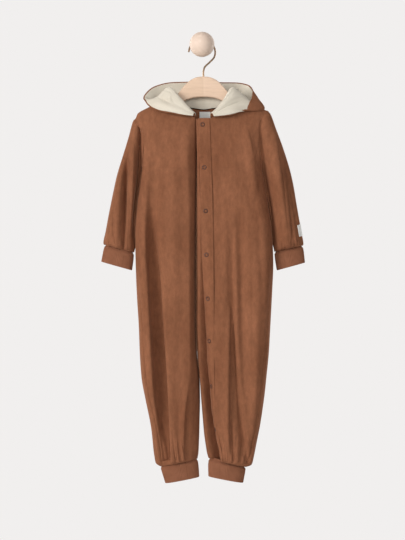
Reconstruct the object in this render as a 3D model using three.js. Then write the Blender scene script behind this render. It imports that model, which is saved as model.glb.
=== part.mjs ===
// A toddler's hooded one-piece pajama of velour, hanging on a small wooden hanger from a wooden
// wall knob. It closes with ring snaps from the neck down the front and the left leg.
// Lengths are millimetres. X runs to the viewer's right, Z is up and the front faces -Y.
// The origin is the middle of the knob's back face, which lies on the wall plane Y = 0.
// Left and right are the wearer's, so the right side has negative X.

import * as THREE from 'three';

// Driving sizes
const velour = 1.8;
const jersey = 1.1;
const ribbing = 2.2;
const seamGap = 0.3;
const shoulderY = -42.5;
const shoulderRound = 0.35;
const chestTop = -150;
const underarm = { z: -247, y: -47 };
const armholeDepth = { front: -63, back: -33 };
const sideSeam = { y: -46, settle: 100 };
const crotchZ = -615;
const placket = { width: 24, thickness: 2.6, lift: 0.6, clearance: 3, valley: 2.4 };
const sideRound = 24;
const backRound = 14;
const frontCrown = 2;
const snap = { radius: 4.6, bore: 2.2, height: 1.3, sides: 10 };
const knob = { ballRadius: 25, ballY: -54, stemRadius: 12, sides: 22 };
const wire = { radius: 1.8, bend: 26.6, sides: 5, steps: 34 };
const hanger = { centre: 3, y: -43, thickness: 10.6, bevel: 3.2, taper: 0.006 };

const QUARTER = Math.PI / 2;
const { sin, cos, sqrt, min, max, abs, sign } = Math;

const mix = (a, b, t) => a + (b - a) * t;
const clamp01 = (t) => min(1, max(0, t));
const ease = (t) => clamp01(t) ** 2 * (3 - 2 * clamp01(t));
const vector = (x, y, z) => new THREE.Vector3(x, y, z);

// Reads one column of a table at a key, on a smooth curve that stays between its rows.
function read(table, key, column, at) {
  const rising = table[1][key] > table[0][key] ? 1 : -1;
  let i = table.findIndex((row) => (row[key] - at) * rising > 0);
  if (i === 0) return table[0][column];
  if (i < 0) return table[table.length - 1][column];
  i -= 1;
  const slopeBetween = (p, q) => (q[column] - p[column]) / (q[key] - p[key]);
  const slopeAt = (j) => {
    if (j === 0) return slopeBetween(table[0], table[1]);
    if (j === table.length - 1) return slopeBetween(table[j - 1], table[j]);
    const [before, after] = [slopeBetween(table[j - 1], table[j]), slopeBetween(table[j], table[j + 1])];
    return before * after > 0 ? (2 * before * after) / (before + after) : 0;
  };
  const [a, b] = [table[i], table[i + 1]];
  const span = b[key] - a[key];
  const t = (at - a[key]) / span;
  const [t2, t3] = [t * t, t * t * t];
  return (2 * t3 - 3 * t2 + 1) * a[column] + (t3 - 2 * t2 + t) * span * slopeAt(i)
    + (3 * t2 - 2 * t3) * b[column] + (t3 - t2) * span * slopeAt(i + 1);
}

// Sections of the wearer's right half: side seam and inner edge in X, and the depths in Y.
// ridge is where the front turns in to the deep centre fold, and below the crotch to the inseam.
const rightBody = [
  { z: -150, side: -136, ridge: -22, inseam: -13.6, front: -67, back: -31, fork: -60, turn: 0 },
  { z: -200, side: -115, ridge: -21, inseam: -12.4, front: -68, back: -31, fork: -54, turn: 0 },
  { z: -247, side: -120, ridge: -21, inseam: -12, front: -69, back: -31, fork: -47, turn: 0 },
  { z: -310, side: -129, ridge: -20, inseam: -12.6, front: -72, back: -28, fork: -46, turn: 0 },
  { z: -380, side: -133, ridge: -20, inseam: -13.2, front: -76, back: -25, fork: -46, turn: 0 },
  { z: -440, side: -132, ridge: -20, inseam: -13.6, front: -79, back: -23, fork: -46, turn: 0.1 },
  { z: -500, side: -129.5, ridge: -20, inseam: -14, front: -80, back: -22, fork: -46, turn: 0.3 },
  { z: -560, side: -126, ridge: -20.5, inseam: -14, front: -80, back: -21, fork: -46, turn: 0.5 },
  { z: -615, side: -124, ridge: -20, inseam: -11, front: -79, back: -21, fork: -47, turn: 0.6 },
  { z: -665, side: -120.5, ridge: -19, inseam: -5.8, front: -77, back: -21, fork: -47, turn: 0.65 },
  { z: -710, side: -112.5, ridge: -18, inseam: -4.8, front: -75, back: -21, fork: -47, turn: 0.65 },
  { z: -755, side: -102.5, ridge: -18, inseam: -5.6, front: -73, back: -22, fork: -47, turn: 0.65 },
  { z: -790, side: -96.5, ridge: -19, inseam: -6.4, front: -72, back: -23, fork: -47, turn: 0.6 },
  { z: -815, side: -93, ridge: -20, inseam: -8, front: -71, back: -24, fork: -46.5, turn: 0.55 },
  { z: -829, side: -90.5, ridge: -22, inseam: -9, front: -69, back: -26, fork: -46, turn: 0.5 },
  { z: -836, side: -83.4, ridge: -26, inseam: -9.6, front: -62, back: -30, fork: -46, turn: 0.4 },
];

// Sections of the wearer's left half. edge is the free edge of the snap band, which turns in by
// tuck on the leg; ridge and inseam belong to the band under it, which closes the inner leg.
const leftBody = [
  { z: -150, side: 131.4, edge: -11, ridge: -7.6, inseam: -9.8, front: -67, back: -31, fork: -61, tuck: 0, turn: 0 },
  { z: -200, side: 111, edge: -8, ridge: -4.5, inseam: -9, front: -68, back: -31, fork: -54, tuck: 0, turn: 0 },
  { z: -247, side: 119, edge: -5.4, ridge: -2.5, inseam: -9.4, front: -69, back: -31, fork: -47, tuck: 0, turn: 0 },
  { z: -310, side: 130, edge: -2.4, ridge: 0.5, inseam: -10, front: -72, back: -28, fork: -46, tuck: 0, turn: 0 },
  { z: -380, side: 139.5, edge: -0.8, ridge: 1.5, inseam: -10.6, front: -76, back: -25, fork: -46, tuck: 0, turn: 0 },
  { z: -440, side: 142, edge: 1.4, ridge: 1, inseam: -11, front: -79, back: -23, fork: -46, tuck: 0, turn: 0.1 },
  { z: -500, side: 139.6, edge: 5.4, ridge: -5.4, inseam: -11.4, front: -80, back: -22, fork: -46, tuck: 1, turn: 0.3 },
  { z: -560, side: 136, edge: 8.4, ridge: -8.2, inseam: -11.4, front: -80, back: -21, fork: -46, tuck: 2, turn: 0.5 },
  { z: -615, side: 133.6, edge: 11, ridge: -5.6, inseam: -8.4, front: -79, back: -21, fork: -47, tuck: 4, turn: 0.6 },
  { z: -665, side: 128.6, edge: 16.6, ridge: -0.8, inseam: -3.6, front: -77, back: -21, fork: -47, tuck: 6, turn: 0.65 },
  { z: -710, side: 123.6, edge: 20, ridge: 2.4, inseam: -0.6, front: -75, back: -21, fork: -47, tuck: 7, turn: 0.65 },
  { z: -755, side: 116, edge: 23.8, ridge: 6, inseam: 2.6, front: -73, back: -22, fork: -47, tuck: 7, turn: 0.65 },
  { z: -790, side: 108, edge: 29.6, ridge: 10, inseam: 5.4, front: -72, back: -23, fork: -47, tuck: 6, turn: 0.6 },
  { z: -815, side: 102.5, edge: 35, ridge: 16, inseam: 9, front: -71, back: -24, fork: -46.5, tuck: 4, turn: 0.55 },
  { z: -829, side: 98.5, edge: 36, ridge: 21, inseam: 11.6, front: -69, back: -26, fork: -46, tuck: 2, turn: 0.5 },
  { z: -836, side: 88, edge: 38, ridge: 25, inseam: 13.6, front: -62, back: -30, fork: -46, tuck: 0, turn: 0.4 },
];

// The middle of the back, which swings forward through the crotch and becomes the inseam.
const centreBack = [
  { z: -131, x: 3, turn: 0 },
  { z: -400, x: 1, turn: 0 },
  { z: -520, x: -5, turn: 0.05 },
  { z: -575, x: -10, turn: 0.45 },
  { z: -615, x: -10, turn: 1 },
];

// Armhole edges, down from the shoulder tip.
const rightArmhole = [
  { z: -150, x: -136 }, { z: -158, x: -129 }, { z: -171, x: -120.6 }, { z: -188, x: -115.4 },
  { z: -211, x: -115.4 }, { z: -230, x: -117.2 }, { z: -247, x: -120 },
];
const leftArmhole = [
  { z: -132, x: 131.4 }, { z: -143, x: 121.5 }, { z: -154, x: 114.8 }, { z: -175, x: 111 },
  { z: -201, x: 111.8 }, { z: -225, x: 115.4 }, { z: -247, x: 119 },
];

// Top edges from the shoulder tip over the neck point to the middle, for the front and the back.
const rightTop = {
  front: [
    { x: -136, z: -150, y: -42.5 }, { x: -129, z: -138, y: -42.5 }, { x: -110, z: -127, y: -42.5 },
    { x: -86, z: -115.5, y: -42.5 }, { x: -64, z: -103.5, y: -42.5 }, { x: -54, z: -114, y: -51 },
    { x: -38, z: -131, y: -58 }, { x: -20, z: -144, y: -64 }, { x: -8, z: -149.5, y: -66 },
  ],
  back: [
    { x: -136, z: -150, y: -42.5 }, { x: -129, z: -138, y: -42.5 }, { x: -110, z: -127, y: -42.5 },
    { x: -86, z: -115.5, y: -42.5 }, { x: -64, z: -103.5, y: -42.5 }, { x: -54, z: -112, y: -35.5 },
    { x: -30, z: -125, y: -32 }, { x: 3, z: -130, y: -31.5 },
  ],
};
const leftTop = {
  front: [
    { x: 131.4, z: -132, y: -42.5 }, { x: 112, z: -125.5, y: -42.5 }, { x: 92, z: -115.5, y: -42.5 },
    { x: 70, z: -103.5, y: -42.5 }, { x: 60, z: -114, y: -51 }, { x: 44, z: -130, y: -58 },
    { x: 26, z: -142, y: -64 }, { x: 6, z: -149, y: -67 }, { x: -11, z: -153, y: -68 },
  ],
  back: [
    { x: 131.4, z: -132, y: -42.5 }, { x: 112, z: -125.5, y: -42.5 }, { x: 92, z: -115.5, y: -42.5 },
    { x: 70, z: -103.5, y: -42.5 }, { x: 60, z: -112, y: -35.5 }, { x: 36, z: -125, y: -32 },
    { x: 3, z: -130, y: -31.5 },
  ],
};

// Long folds: where the middle line starts and ends, its half width and how far it stands out.
const folds = {
  frontRight: [
    { x0: -96, z0: -300, x1: -70, z1: -850, width: 16, out: -9 },
    { x0: -76, z0: -380, x1: -57, z1: -860, width: 12, out: 5 },
    { x0: -52, z0: -560, x1: -30, z1: -860, width: 10, out: 3.5 },
    { x0: -60, z0: -170, x1: -52, z1: -480, width: 20, out: 2.5 },
    { x0: -112, z0: -210, x1: -118, z1: -480, width: 12, out: 3 },
  ],
  frontLeft: [
    { x0: 84, z0: -330, x1: 84, z1: -860, width: 15, out: -7 },
    { x0: 62, z0: -560, x1: 54, z1: -855, width: 9, out: 4.5 },
    { x0: 70, z0: -690, x1: 64, z1: -860, width: 7, out: -5 },
    { x0: 90, z0: -160, x1: 112, z1: -340, width: 17, out: 3.5 },
    { x0: 112, z0: -420, x1: 100, z1: -840, width: 12, out: 3 },
  ],
  backRight: [
    { x0: -88, z0: -260, x1: -66, z1: -850, width: 18, out: -5 },
    { x0: -40, z0: -300, x1: -40, z1: -850, width: 14, out: 3 },
  ],
  backLeft: [
    { x0: 92, z0: -260, x1: 76, z1: -850, width: 18, out: -5 },
    { x0: 44, z0: -300, x1: 46, z1: -850, width: 14, out: 3 },
  ],
};
const gather = { waves: 5.5, out: 2.2, from: -765, to: -836 };
const hemSlope = { right: 0.2, left: -0.234, from: -700, middleRight: -46.5, middleLeft: 50.8 };

// Grid steps: shares of the armhole height above the underarm, then heights down to the hem.
const upperSteps = [0, 0.035, 0.1, 0.19, 0.28, 0.37, 0.46, 0.55, 0.64, 0.73, 0.82, 0.91, 1];
const lowerSteps = [
  -275, -310, -350, -395, -440, -485, -530, -570, -600, -630, -665, -700, -735, -766, -790,
  -810, -824, -832, -836,
];
const frontSteps = { side: 4, flat: 9, inner: 4 };
const backSteps = { side: 3, flat: 5, inner: 3 };

const halves = {
  right: {
    way: -1, body: rightBody, armhole: rightArmhole, top: rightTop,
    hem: hemSlope.right, hemMiddle: hemSlope.middleRight, frontFolds: folds.frontRight, backFolds: folds.backRight,
  },
  left: {
    way: 1, body: leftBody, armhole: leftArmhole, top: leftTop,
    hem: hemSlope.left, hemMiddle: hemSlope.middleLeft, frontFolds: folds.frontLeft, backFolds: folds.backLeft,
  },
};

// How far a set of folds moves the cloth out at a point, before its direction is known.
function foldHeight(list, x, z) {
  let height = 0;
  for (const fold of list) {
    const along = (fold.z0 - z) / (fold.z0 - fold.z1);
    if (along <= 0 || along >= 1) continue;
    const across = (x - mix(fold.x0, fold.x1, along)) / fold.width;
    if (abs(across) >= 1) continue;
    height += fold.out * sin(Math.PI * along ** 0.7) ** 0.8 * cos(QUARTER * across) ** 2;
  }
  return height;
}

// The front or back edge of an armhole at a share of its height.
function armholeEdge(half, face, share) {
  const [first, last] = [half.armhole[0], half.armhole[half.armhole.length - 1]];
  const z = mix(first.z, last.z, share);
  const base = mix(shoulderY, underarm.y, share);
  const y = mix(base, armholeDepth[face], sin(QUARTER * sqrt(min(share, 1 - share) * 2)));
  return vector(read(half.armhole, 'z', 'x', z), y, z);
}

// The places of a panel's columns: round the side, across, and in to the middle.
function columnsOf(steps) {
  const columns = [];
  for (const [part, count] of Object.entries(steps)) {
    for (let i = columns.length ? 1 : 0; i <= count; i += 1) columns.push({ part, share: i / count });
  }
  return columns;
}

// A horizontal section of the front or back at a height, without folds.
function sectionPoint(half, face, column, z) {
  const get = (name) => read(half.body, 'z', name, z);
  const [side, fork, turn] = [get('side'), get('fork'), get('turn')];
  const plane = get(face);
  const isBand = face === 'front' && half === halves.left;
  const seamY = mix(underarm.y, sideSeam.y, ease((underarm.z - z) / sideSeam.settle));
  const corner = side - half.way * sideRound;
  let inner;
  let bend;
  let turnIn = 1;
  if (face === 'front') {
    inner = isBand ? get('edge') + placket.width : get('inseam');
    bend = isBand ? inner + 1 : get('ridge');
  } else {
    turnIn = read(centreBack, 'z', 'turn', z);
    inner = mix(read(centreBack, 'z', 'x', z), get('inseam'), turnIn);
    bend = inner + half.way * backRound;
  }
  if (column.part === 'side') {
    const start = face === 'front' ? turn * QUARTER * 0.5 : -turn * QUARTER * 0.5;
    const angle = mix(start, QUARTER, column.share);
    const depth = angle < 0 ? get(face === 'front' ? 'back' : 'front') : plane;
    return [side - half.way * sideRound * (1 - cos(angle)), mix(seamY, depth, sin(abs(angle)))];
  }
  if (column.part === 'flat') {
    const bow = frontCrown * sin(Math.PI * column.share) * sign(plane - seamY);
    return [mix(corner, bend, column.share), plane + bow];
  }
  const angle = column.share * QUARTER;
  if (isBand) return [mix(bend, inner, column.share), plane];
  return [mix(bend, inner, sin(angle)), mix(plane, mix(plane, fork, turnIn), 1 - cos(angle))];
}

// The X on a top edge of a column that goes round the side lower down.
function topPlace(half, column) {
  const tip = half.armhole[0].x;
  return tip - half.way * sideRound * column.share;
}

// A point of a body panel. Steps above the underarm count from the shoulder and neckline.
function bodyPoint(half, face, column, step) {
  const list = face === 'front' ? half.frontFolds : half.backFolds;
  const outY = face === 'front' ? -1 : 1;
  if (step >= upperSteps.length) {
    const level = lowerSteps[step - upperSteps.length];
    const [x, y] = sectionPoint(half, face, column, level);
    const slant = half.hem * ease((hemSlope.from - level) / (hemSlope.from - gather.to));
    const z = level + slant * (x - half.hemMiddle);
    const inPlane = column.part === 'flat' || (column.part === 'inner' && column.share < 0.5);
    return vector(x, y + (inPlane ? outY * foldHeight(list, x, level) : 0), z);
  }
  const share = upperSteps[step];
  const edge = armholeEdge(half, face, share);
  const level = mix(chestTop, underarm.z, share);
  const [x0] = sectionPoint(half, face, column, chestTop);
  const [x1, y1] = sectionPoint(half, face, column, level);
  const side = read(half.body, 'z', 'side', level);
  const even = mix(side, side - half.way * sideRound, column.share);
  const spaced = column.part === 'side' ? mix(even, x1, share ** 4) : x1;
  const across = clamp01(1 - spaced / side);
  const x = spaced + (edge.x - side) * clamp01(1 - across * 2);
  const top = (name) => read(half.top[face], 'x', name, column.part === 'side' ? topPlace(half, column) : x0);
  const z = mix(edge.z, mix(top('z'), underarm.z, share), clamp01(across / 0.05));
  const plane = read(half.body, 'z', face, level);
  const rise = sin(QUARTER * share ** shoulderRound);
  const dip = column.part === 'inner' && half === halves.right && face === 'front'
    ? (y1 - plane) * rise : 0;
  const open = mix(top('y'), plane, rise) + dip;
  const roundness = column.part === 'side' ? sin(QUARTER * column.share) : 1;
  const y = mix(edge.y, open, roundness);
  return vector(x, y + outY * foldHeight(list, x, z) * roundness * rise, z);
}

// A panel as rows of points from the top edge to the hem.
function bodyGrid(half, face) {
  const columns = columnsOf(face === 'front' ? frontSteps : backSteps);
  const rows = [];
  for (let step = 0; step < upperSteps.length + lowerSteps.length; step += 1) {
    rows.push(columns.map((column) => bodyPoint(half, face, column, step)));
  }
  return rows;
}

// Directions square to a grid of points. way is 1 or -1, whichever faces out of the garment.
function gridNormals(grid, way, wraps = false) {
  const [rows, columns] = [grid.length, grid[0].length];
  return grid.map((row, r) => row.map((point, c) => {
    const left = wraps ? grid[r][(c - 1 + columns) % columns] : grid[r][max(0, c - 1)];
    const right = wraps ? grid[r][(c + 1) % columns] : grid[r][min(columns - 1, c + 1)];
    const above = grid[max(0, r - 1)][c];
    const below = grid[min(rows - 1, r + 1)][c];
    const across = right.clone().sub(left);
    const down = below.clone().sub(above);
    return across.cross(down).normalize().multiplyScalar(way);
  }));
}

// Evens out a grid's inner points between their neighbours.
function softened(grid, passes) {
  for (let pass = 0; pass < passes; pass += 1) {
    const old = grid.map((row) => row.map((point) => point.clone()));
    for (let r = 1; r < grid.length - 1; r += 1) {
      for (let c = 1; c < grid[0].length - 1; c += 1) {
        const around = old[r - 1][c].clone().add(old[r + 1][c]).add(old[r][c - 1]).add(old[r][c + 1]);
        grid[r][c].lerp(around.multiplyScalar(0.25), 0.5);
      }
    }
  }
}

// Turns a geometry's faces out if its volume is negative.
function facingOut(positions, faces) {
  let volume = 0;
  for (const [a, b, c] of faces) {
    volume += vector(...positions[a]).dot(vector(...positions[b]).cross(vector(...positions[c])));
  }
  const turned = volume < 0 ? faces.map(([a, b, c]) => [a, c, b]) : faces;
  const geometry = new THREE.BufferGeometry();
  geometry.setAttribute('position', new THREE.Float32BufferAttribute(positions.flat(), 3));
  geometry.setIndex(turned.flat());
  geometry.computeVertexNormals();
  return geometry;
}

// A closed wall on a grid of points, each moved out and in along its own direction.
function wall(grid, normals, thickness, wraps = false) {
  const [rows, columns] = [grid.length, grid[0].length];
  const positions = [];
  for (const part of [0.5, -0.5]) {
    grid.forEach((row, r) => row.forEach((point, c) => {
      positions.push(point.clone().addScaledVector(normals[r][c], part * thickness).toArray());
    }));
  }
  const at = (layer, r, c) => (layer * rows + r) * columns + (c % columns);
  const faces = [];
  const quad = (a, b, c, d) => faces.push([a, b, c], [a, c, d]);
  const spans = wraps ? columns : columns - 1;
  for (let r = 0; r < rows - 1; r += 1) {
    for (let c = 0; c < spans; c += 1) {
      quad(at(0, r, c), at(0, r, c + 1), at(0, r + 1, c + 1), at(0, r + 1, c));
      quad(at(1, r, c), at(1, r + 1, c), at(1, r + 1, c + 1), at(1, r, c + 1));
    }
    if (!wraps) {
      quad(at(0, r, 0), at(0, r + 1, 0), at(1, r + 1, 0), at(1, r, 0));
      quad(at(0, r, spans), at(1, r, spans), at(1, r + 1, spans), at(0, r + 1, spans));
    }
  }
  for (let c = 0; c < spans; c += 1) {
    quad(at(0, 0, c), at(1, 0, c), at(1, 0, c + 1), at(0, 0, c + 1));
    quad(at(0, rows - 1, c), at(0, rows - 1, c + 1), at(1, rows - 1, c + 1), at(1, rows - 1, c));
  }
  return facingOut(positions, faces);
}

// Makes two seam edges share their directions, so that their walls meet end to end.
function shareDirections(pairs) {
  for (const [a, b] of pairs) {
    const middle = a.clone().add(b).normalize();
    a.copy(middle);
    b.copy(middle);
  }
}

// Draws a panel's first and last column and top row back from its seams.
function drawBack(grid, { first = 0, last = 0, top = 0 }) {
  const end = grid[0].length - 1;
  for (const row of grid) {
    if (first) row[0].add(row[1].clone().sub(row[0]).setLength(first));
    if (last) row[end].add(row[end - 1].clone().sub(row[end]).setLength(last));
  }
  if (top) grid[0].forEach((point, c) => point.add(grid[1][c].clone().sub(point).setLength(top)));
}

// Small waves of cloth gathered on to a cuff.
function gatherWaves(grid, normals, phase) {
  const columns = grid[0].length - 1;
  grid.forEach((row, r) => row.forEach((point, c) => {
    if (c === 0 || c === columns || r === grid.length - 1) return;
    const share = clamp01((gather.from - point.z) / (gather.from - gather.to));
    const wave = sin(2 * Math.PI * gather.waves * (c / columns) + phase);
    point.addScaledVector(normals[r][c], gather.out * wave * ease(share * 1.4));
  }));
}

const materials = {
  velour: new THREE.MeshStandardMaterial({ color: 0x8f5a3f, roughness: 0.85, metalness: 0 }),
  ribbing: new THREE.MeshStandardMaterial({ color: 0x84563d, roughness: 0.9, metalness: 0 }),
  jersey: new THREE.MeshStandardMaterial({ color: 0xded8c8, roughness: 0.9, metalness: 0 }),
  label: new THREE.MeshStandardMaterial({ color: 0xe9e7e2, roughness: 0.7, metalness: 0 }),
  snap: new THREE.MeshStandardMaterial({ color: 0x8a5c42, roughness: 0.4, metalness: 0.3 }),
  wood: new THREE.MeshStandardMaterial({ color: 0xe6c3a0, roughness: 0.6, metalness: 0 }),
  steel: new THREE.MeshStandardMaterial({ color: 0xa9927c, roughness: 0.35, metalness: 0.9 }),
};

const pajama = new THREE.Group();

function add(name, geometry, material) {
  const mesh = new THREE.Mesh(geometry, materials[material]);
  mesh.name = name;
  pajama.add(mesh);
  return mesh;
}

// Body panels
const panels = {};
for (const [name, half] of Object.entries(halves)) {
  for (const face of ['front', 'back']) {
    const grid = bodyGrid(half, face);
    const way = half.way * (face === 'front' ? 1 : -1);
    panels[`${face}_${name}`] = { grid, way, normals: gridNormals(grid, way) };
  }
}
const underarmStep = upperSteps.length - 1;
const crotchStep = upperSteps.length + lowerSteps.findIndex((z) => z < crotchZ) - 1;
for (const name of Object.keys(halves)) {
  const [front, back] = [panels[`front_${name}`], panels[`back_${name}`]];
  shareDirections(front.normals.slice(underarmStep).map((row, r) => [row[0], back.normals[underarmStep + r][0]]));
}
{
  const [right, left] = [panels.back_right, panels.back_left];
  const end = right.grid[0].length - 1;
  shareDirections(right.normals.slice(0, crotchStep - 1).map((row, r) => [row[end], left.normals[r][end]]));
  const front = panels.front_right;
  const frontEnd = front.grid[0].length - 1;
  shareDirections(right.normals.slice(crotchStep).map((row, r) => [row[end], front.normals[crotchStep + r][frontEnd]]));
}

// Along the shoulder the front and the back meet on top, so their walls stand upright there.
for (const [key, panel] of Object.entries(panels)) {
  const half = key.endsWith('right') ? halves.right : halves.left;
  const neckPoint = half.way < 0 ? -64 : 70;
  panel.grid[0].forEach((point, c) => {
    if (abs(point.x) >= abs(neckPoint) - 2) panel.normals[0][c].set(0, 0, 1);
  });
}
for (const [key, panel] of Object.entries(panels)) {
  const isFront = key.startsWith('front');
  gatherWaves(panel.grid, panel.normals, key.endsWith('right') ? 0.4 : 1.3);
  // Past the crotch the back's inner edge lies beside the other half's, not end to end with it.
  panel.grid.forEach((row, r) => {
    const end = row.length - 1;
    const way = key.endsWith('right') ? 1 : -1;
    const beside = !isFront && r === crotchStep - 1 ? abs(panel.normals[r][end].x) : 0;
    row[end].x -= way * beside * velour * 0.5;
  });
  drawBack(panel.grid, { first: seamGap * 0.6, last: seamGap * 0.6, top: seamGap * 0.7 });
  add(key, wall(panel.grid, panel.normals, velour), 'velour');
}

// Snap band: the finished edge of the left front, on top of the band below it.
function bandLevel(step) {
  const isUpper = step < upperSteps.length;
  return isUpper ? mix(chestTop, underarm.z, upperSteps[step]) : lowerSteps[step - upperSteps.length];
}

function bandPoint(step, across) {
  const end = { part: 'inner', share: 1 };
  const seam = bodyPoint(halves.left, 'front', end, step);
  const level = bandLevel(step);
  const tuck = read(leftBody, 'z', 'tuck', level);
  const edge = read(leftBody, 'z', 'edge', level);
  const x = mix(seam.x - placket.width, edge, 0.5);
  const slope = step < upperSteps.length ? -0.2 * (1 - upperSteps[step]) : halves.left.hem
    * ease((hemSlope.from - level) / (hemSlope.from - gather.to));
  return vector(
    mix(seam.x - seamGap, x, across),
    seam.y + tuck * across * across,
    seam.z + slope * (x - seam.x) * across,
  );
}

const allSteps = [...upperSteps, ...lowerSteps].map((_, step) => step);
const bandGrid = allSteps.map((step) => [0, 0.5, 1].map((across) => bandPoint(step, across)));
bandGrid[0].forEach((point) => { point.z -= seamGap; });
const bandNormals = gridNormals(bandGrid, 1);
const raisedBand = bandGrid.map((row, r) => row.map((point, c) => (
  point.clone().addScaledVector(bandNormals[r][c], placket.lift)
)));
add('front_placket', wall(raisedBand, bandNormals, placket.thickness), 'velour');

// The band below the snaps rises out of the centre fold, and closes the inner leg further down.
function underPoint(step, share) {
  const level = bandLevel(step);
  const get = (name) => read(leftBody, 'z', name, level);
  const cover = bandPoint(step, 1);
  const [inseam, ridge, fork, tuck] = [get('inseam'), get('ridge'), get('fork'), get('tuck')];
  const rise = step < upperSteps.length ? sin(QUARTER * sqrt(upperSteps[step])) : 1;
  const nearHem = ease((gather.from - level) / (gather.from - gather.to));
  const top = cover.y + placket.clearance + placket.valley * rise * (1 - nearHem);
  const bottom = max(top + 5, mix(top, fork, rise));
  const turned = 0.45;
  const slope = step < upperSteps.length ? 0 : halves.left.hem
    * ease((hemSlope.from - level) / (hemSlope.from - gather.to));
  let x;
  let y;
  if (share < turned) {
    const angle = (share / turned) * QUARTER;
    x = mix(inseam, ridge, 1 - cos(angle));
    y = mix(bottom, top, sin(angle));
  } else {
    const across = (share - turned) / (1 - turned);
    x = mix(ridge, cover.x + 17, across);
    const under = cover.y - tuck + tuck * (1 - clamp01((x - cover.x) / placket.width)) ** 2;
    y = mix(top, under + placket.clearance, ease((x - ridge) / max(6, cover.x - ridge)));
  }
  return vector(x, y, cover.z + slope * (x - cover.x));
}

const underShares = [0, 0.15, 0.3, 0.45, 0.62, 0.8, 1];
const underGrid = allSteps.map((step) => underShares.map((share) => underPoint(step, share)));
drawBack(underGrid, { first: seamGap * 0.6 });
add('front_underlap', wall(underGrid, gridNormals(underGrid, -1), velour), 'velour');

// Ring snaps down the middle of the band
const snapSteps = [-161, -247, -335, -421, -508, -593, -682, -768];

function bandSurface(z) {
  for (let r = 0; r < bandGrid.length - 1; r += 1) {
    const [above, below] = [bandGrid[r][1], bandGrid[r + 1][1]];
    if (above.z >= z && below.z < z) {
      const t = (above.z - z) / (above.z - below.z);
      return {
        place: above.clone().lerp(below, t),
        normal: bandNormals[r][1].clone().lerp(bandNormals[r + 1][1], t).normalize(),
      };
    }
  }
  return null;
}

function snapGeometry() {
  const { radius, bore, height, sides } = snap;
  const profile = [
    [bore, 0], [radius, 0], [radius, height * 0.55], [radius * 0.86, height],
    [bore * 1.35, height], [bore, height * 0.6], [bore, 0],
  ];
  return new THREE.LatheGeometry(profile.map(([x, y]) => new THREE.Vector2(x, y)), sides);
}

snapSteps.forEach((z, i) => {
  const { place, normal } = bandSurface(z);
  const mesh = add(`snap_${i + 1}`, snapGeometry(), 'snap');
  const base = placket.lift + placket.thickness / 2 + seamGap + 0.15;
  mesh.position.copy(place).addScaledVector(normal, base);
  mesh.quaternion.setFromUnitVectors(vector(0, 1, 0), normal);
});

// Sleeves: each ring runs from its outer point over the front to its inner point and back.
const sleeves = {
  right: [
    { outerX: -143.5, outerZ: -177, innerX: -124, innerZ: -256, front: -64, back: -31 },
    { outerX: -152, outerZ: -205, innerX: -126, innerZ: -268, front: -65, back: -29 },
    { outerX: -162, outerZ: -237, innerX: -129, innerZ: -287, front: -66, back: -28 },
    { outerX: -171, outerZ: -269, innerX: -132.2, innerZ: -310, front: -66, back: -27 },
    { outerX: -179, outerZ: -305, innerX: -134.8, innerZ: -336, front: -66, back: -26 },
    { outerX: -186.5, outerZ: -342, innerX: -136.4, innerZ: -362, front: -66, back: -25 },
    { outerX: -192.5, outerZ: -374, innerX: -137, innerZ: -388, front: -66, back: -25 },
    { outerX: -195.6, outerZ: -389, innerX: -137, innerZ: -402, front: -65, back: -25 },
    { outerX: -196, outerZ: -397, innerX: -137, innerZ: -412, front: -62, back: -27 },
    { outerX: -194, outerZ: -400, innerX: -136.5, innerZ: -415.5, front: -55, back: -30 },
  ],
  left: [
    { outerX: 146, outerZ: -160, innerX: 124, innerZ: -256, front: -64, back: -31 },
    { outerX: 154.5, outerZ: -184, innerX: 126, innerZ: -267, front: -65, back: -29 },
    { outerX: 163.5, outerZ: -212, innerX: 130, innerZ: -285, front: -66, back: -28 },
    { outerX: 173.5, outerZ: -245, innerX: 135, innerZ: -308, front: -66, back: -27 },
    { outerX: 182.5, outerZ: -282, innerX: 139.5, innerZ: -334, front: -66, back: -26 },
    { outerX: 190.5, outerZ: -320, innerX: 143, innerZ: -360, front: -66, back: -25 },
    { outerX: 197.5, outerZ: -356, innerX: 145.4, innerZ: -386, front: -66, back: -25 },
    { outerX: 202, outerZ: -384, innerX: 146, innerZ: -401, front: -65, back: -25 },
    { outerX: 203, outerZ: -396, innerX: 146, innerZ: -410, front: -62, back: -27 },
    { outerX: 201.4, outerZ: -402, innerX: 145, innerZ: -414, front: -55, back: -30 },
  ],
};
const sleeveFolds = [
  { angle: 1.9, drift: 0.15, width: 0.5, out: 5, from: 0.08, to: 1 },
  { angle: 1.05, drift: 0.25, width: 0.5, out: -5.5, from: 0.2, to: 1 },
  { angle: 2.7, drift: -0.1, width: 0.45, out: -4, from: 0.05, to: 0.8 },
  { angle: 4.4, drift: 0.1, width: 0.6, out: -4, from: 0.15, to: 0.95 },
];
const sleeveGather = { waves: 9, out: 1.8, rings: 4 };
const ringSides = 2 * (upperSteps.length - 1);

// A point on a ring whose chord runs from an outer to an inner point; side 0 is the outer one.
function ringPoint(ring, side) {
  const angle = (2 * Math.PI * side) / ringSides;
  const soft = (value) => sign(value) * abs(value) ** 0.85;
  const share = (1 - soft(cos(angle))) / 2;
  const middleY = (ring.front + ring.back) / 2;
  const depth = soft(sin(angle)) * (middleY - ring.front);
  return vector(mix(ring.outerX, ring.innerX, share), middleY - depth, mix(ring.outerZ, ring.innerZ, share));
}

// The armhole loop, drawn out from the body by the seam, and by the wall where both hang down.
function armholeLoop(half) {
  const loop = [];
  for (let side = 0; side < ringSides; side += 1) {
    const isFront = side <= ringSides / 2;
    const share = upperSteps[isFront ? side : ringSides - side];
    const point = armholeEdge(half, isFront ? 'front' : 'back', share);
    point.x += half.way * (0.5 + velour * ease((share - 0.35) / 0.5));
    loop.push(point);
  }
  return loop;
}

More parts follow.
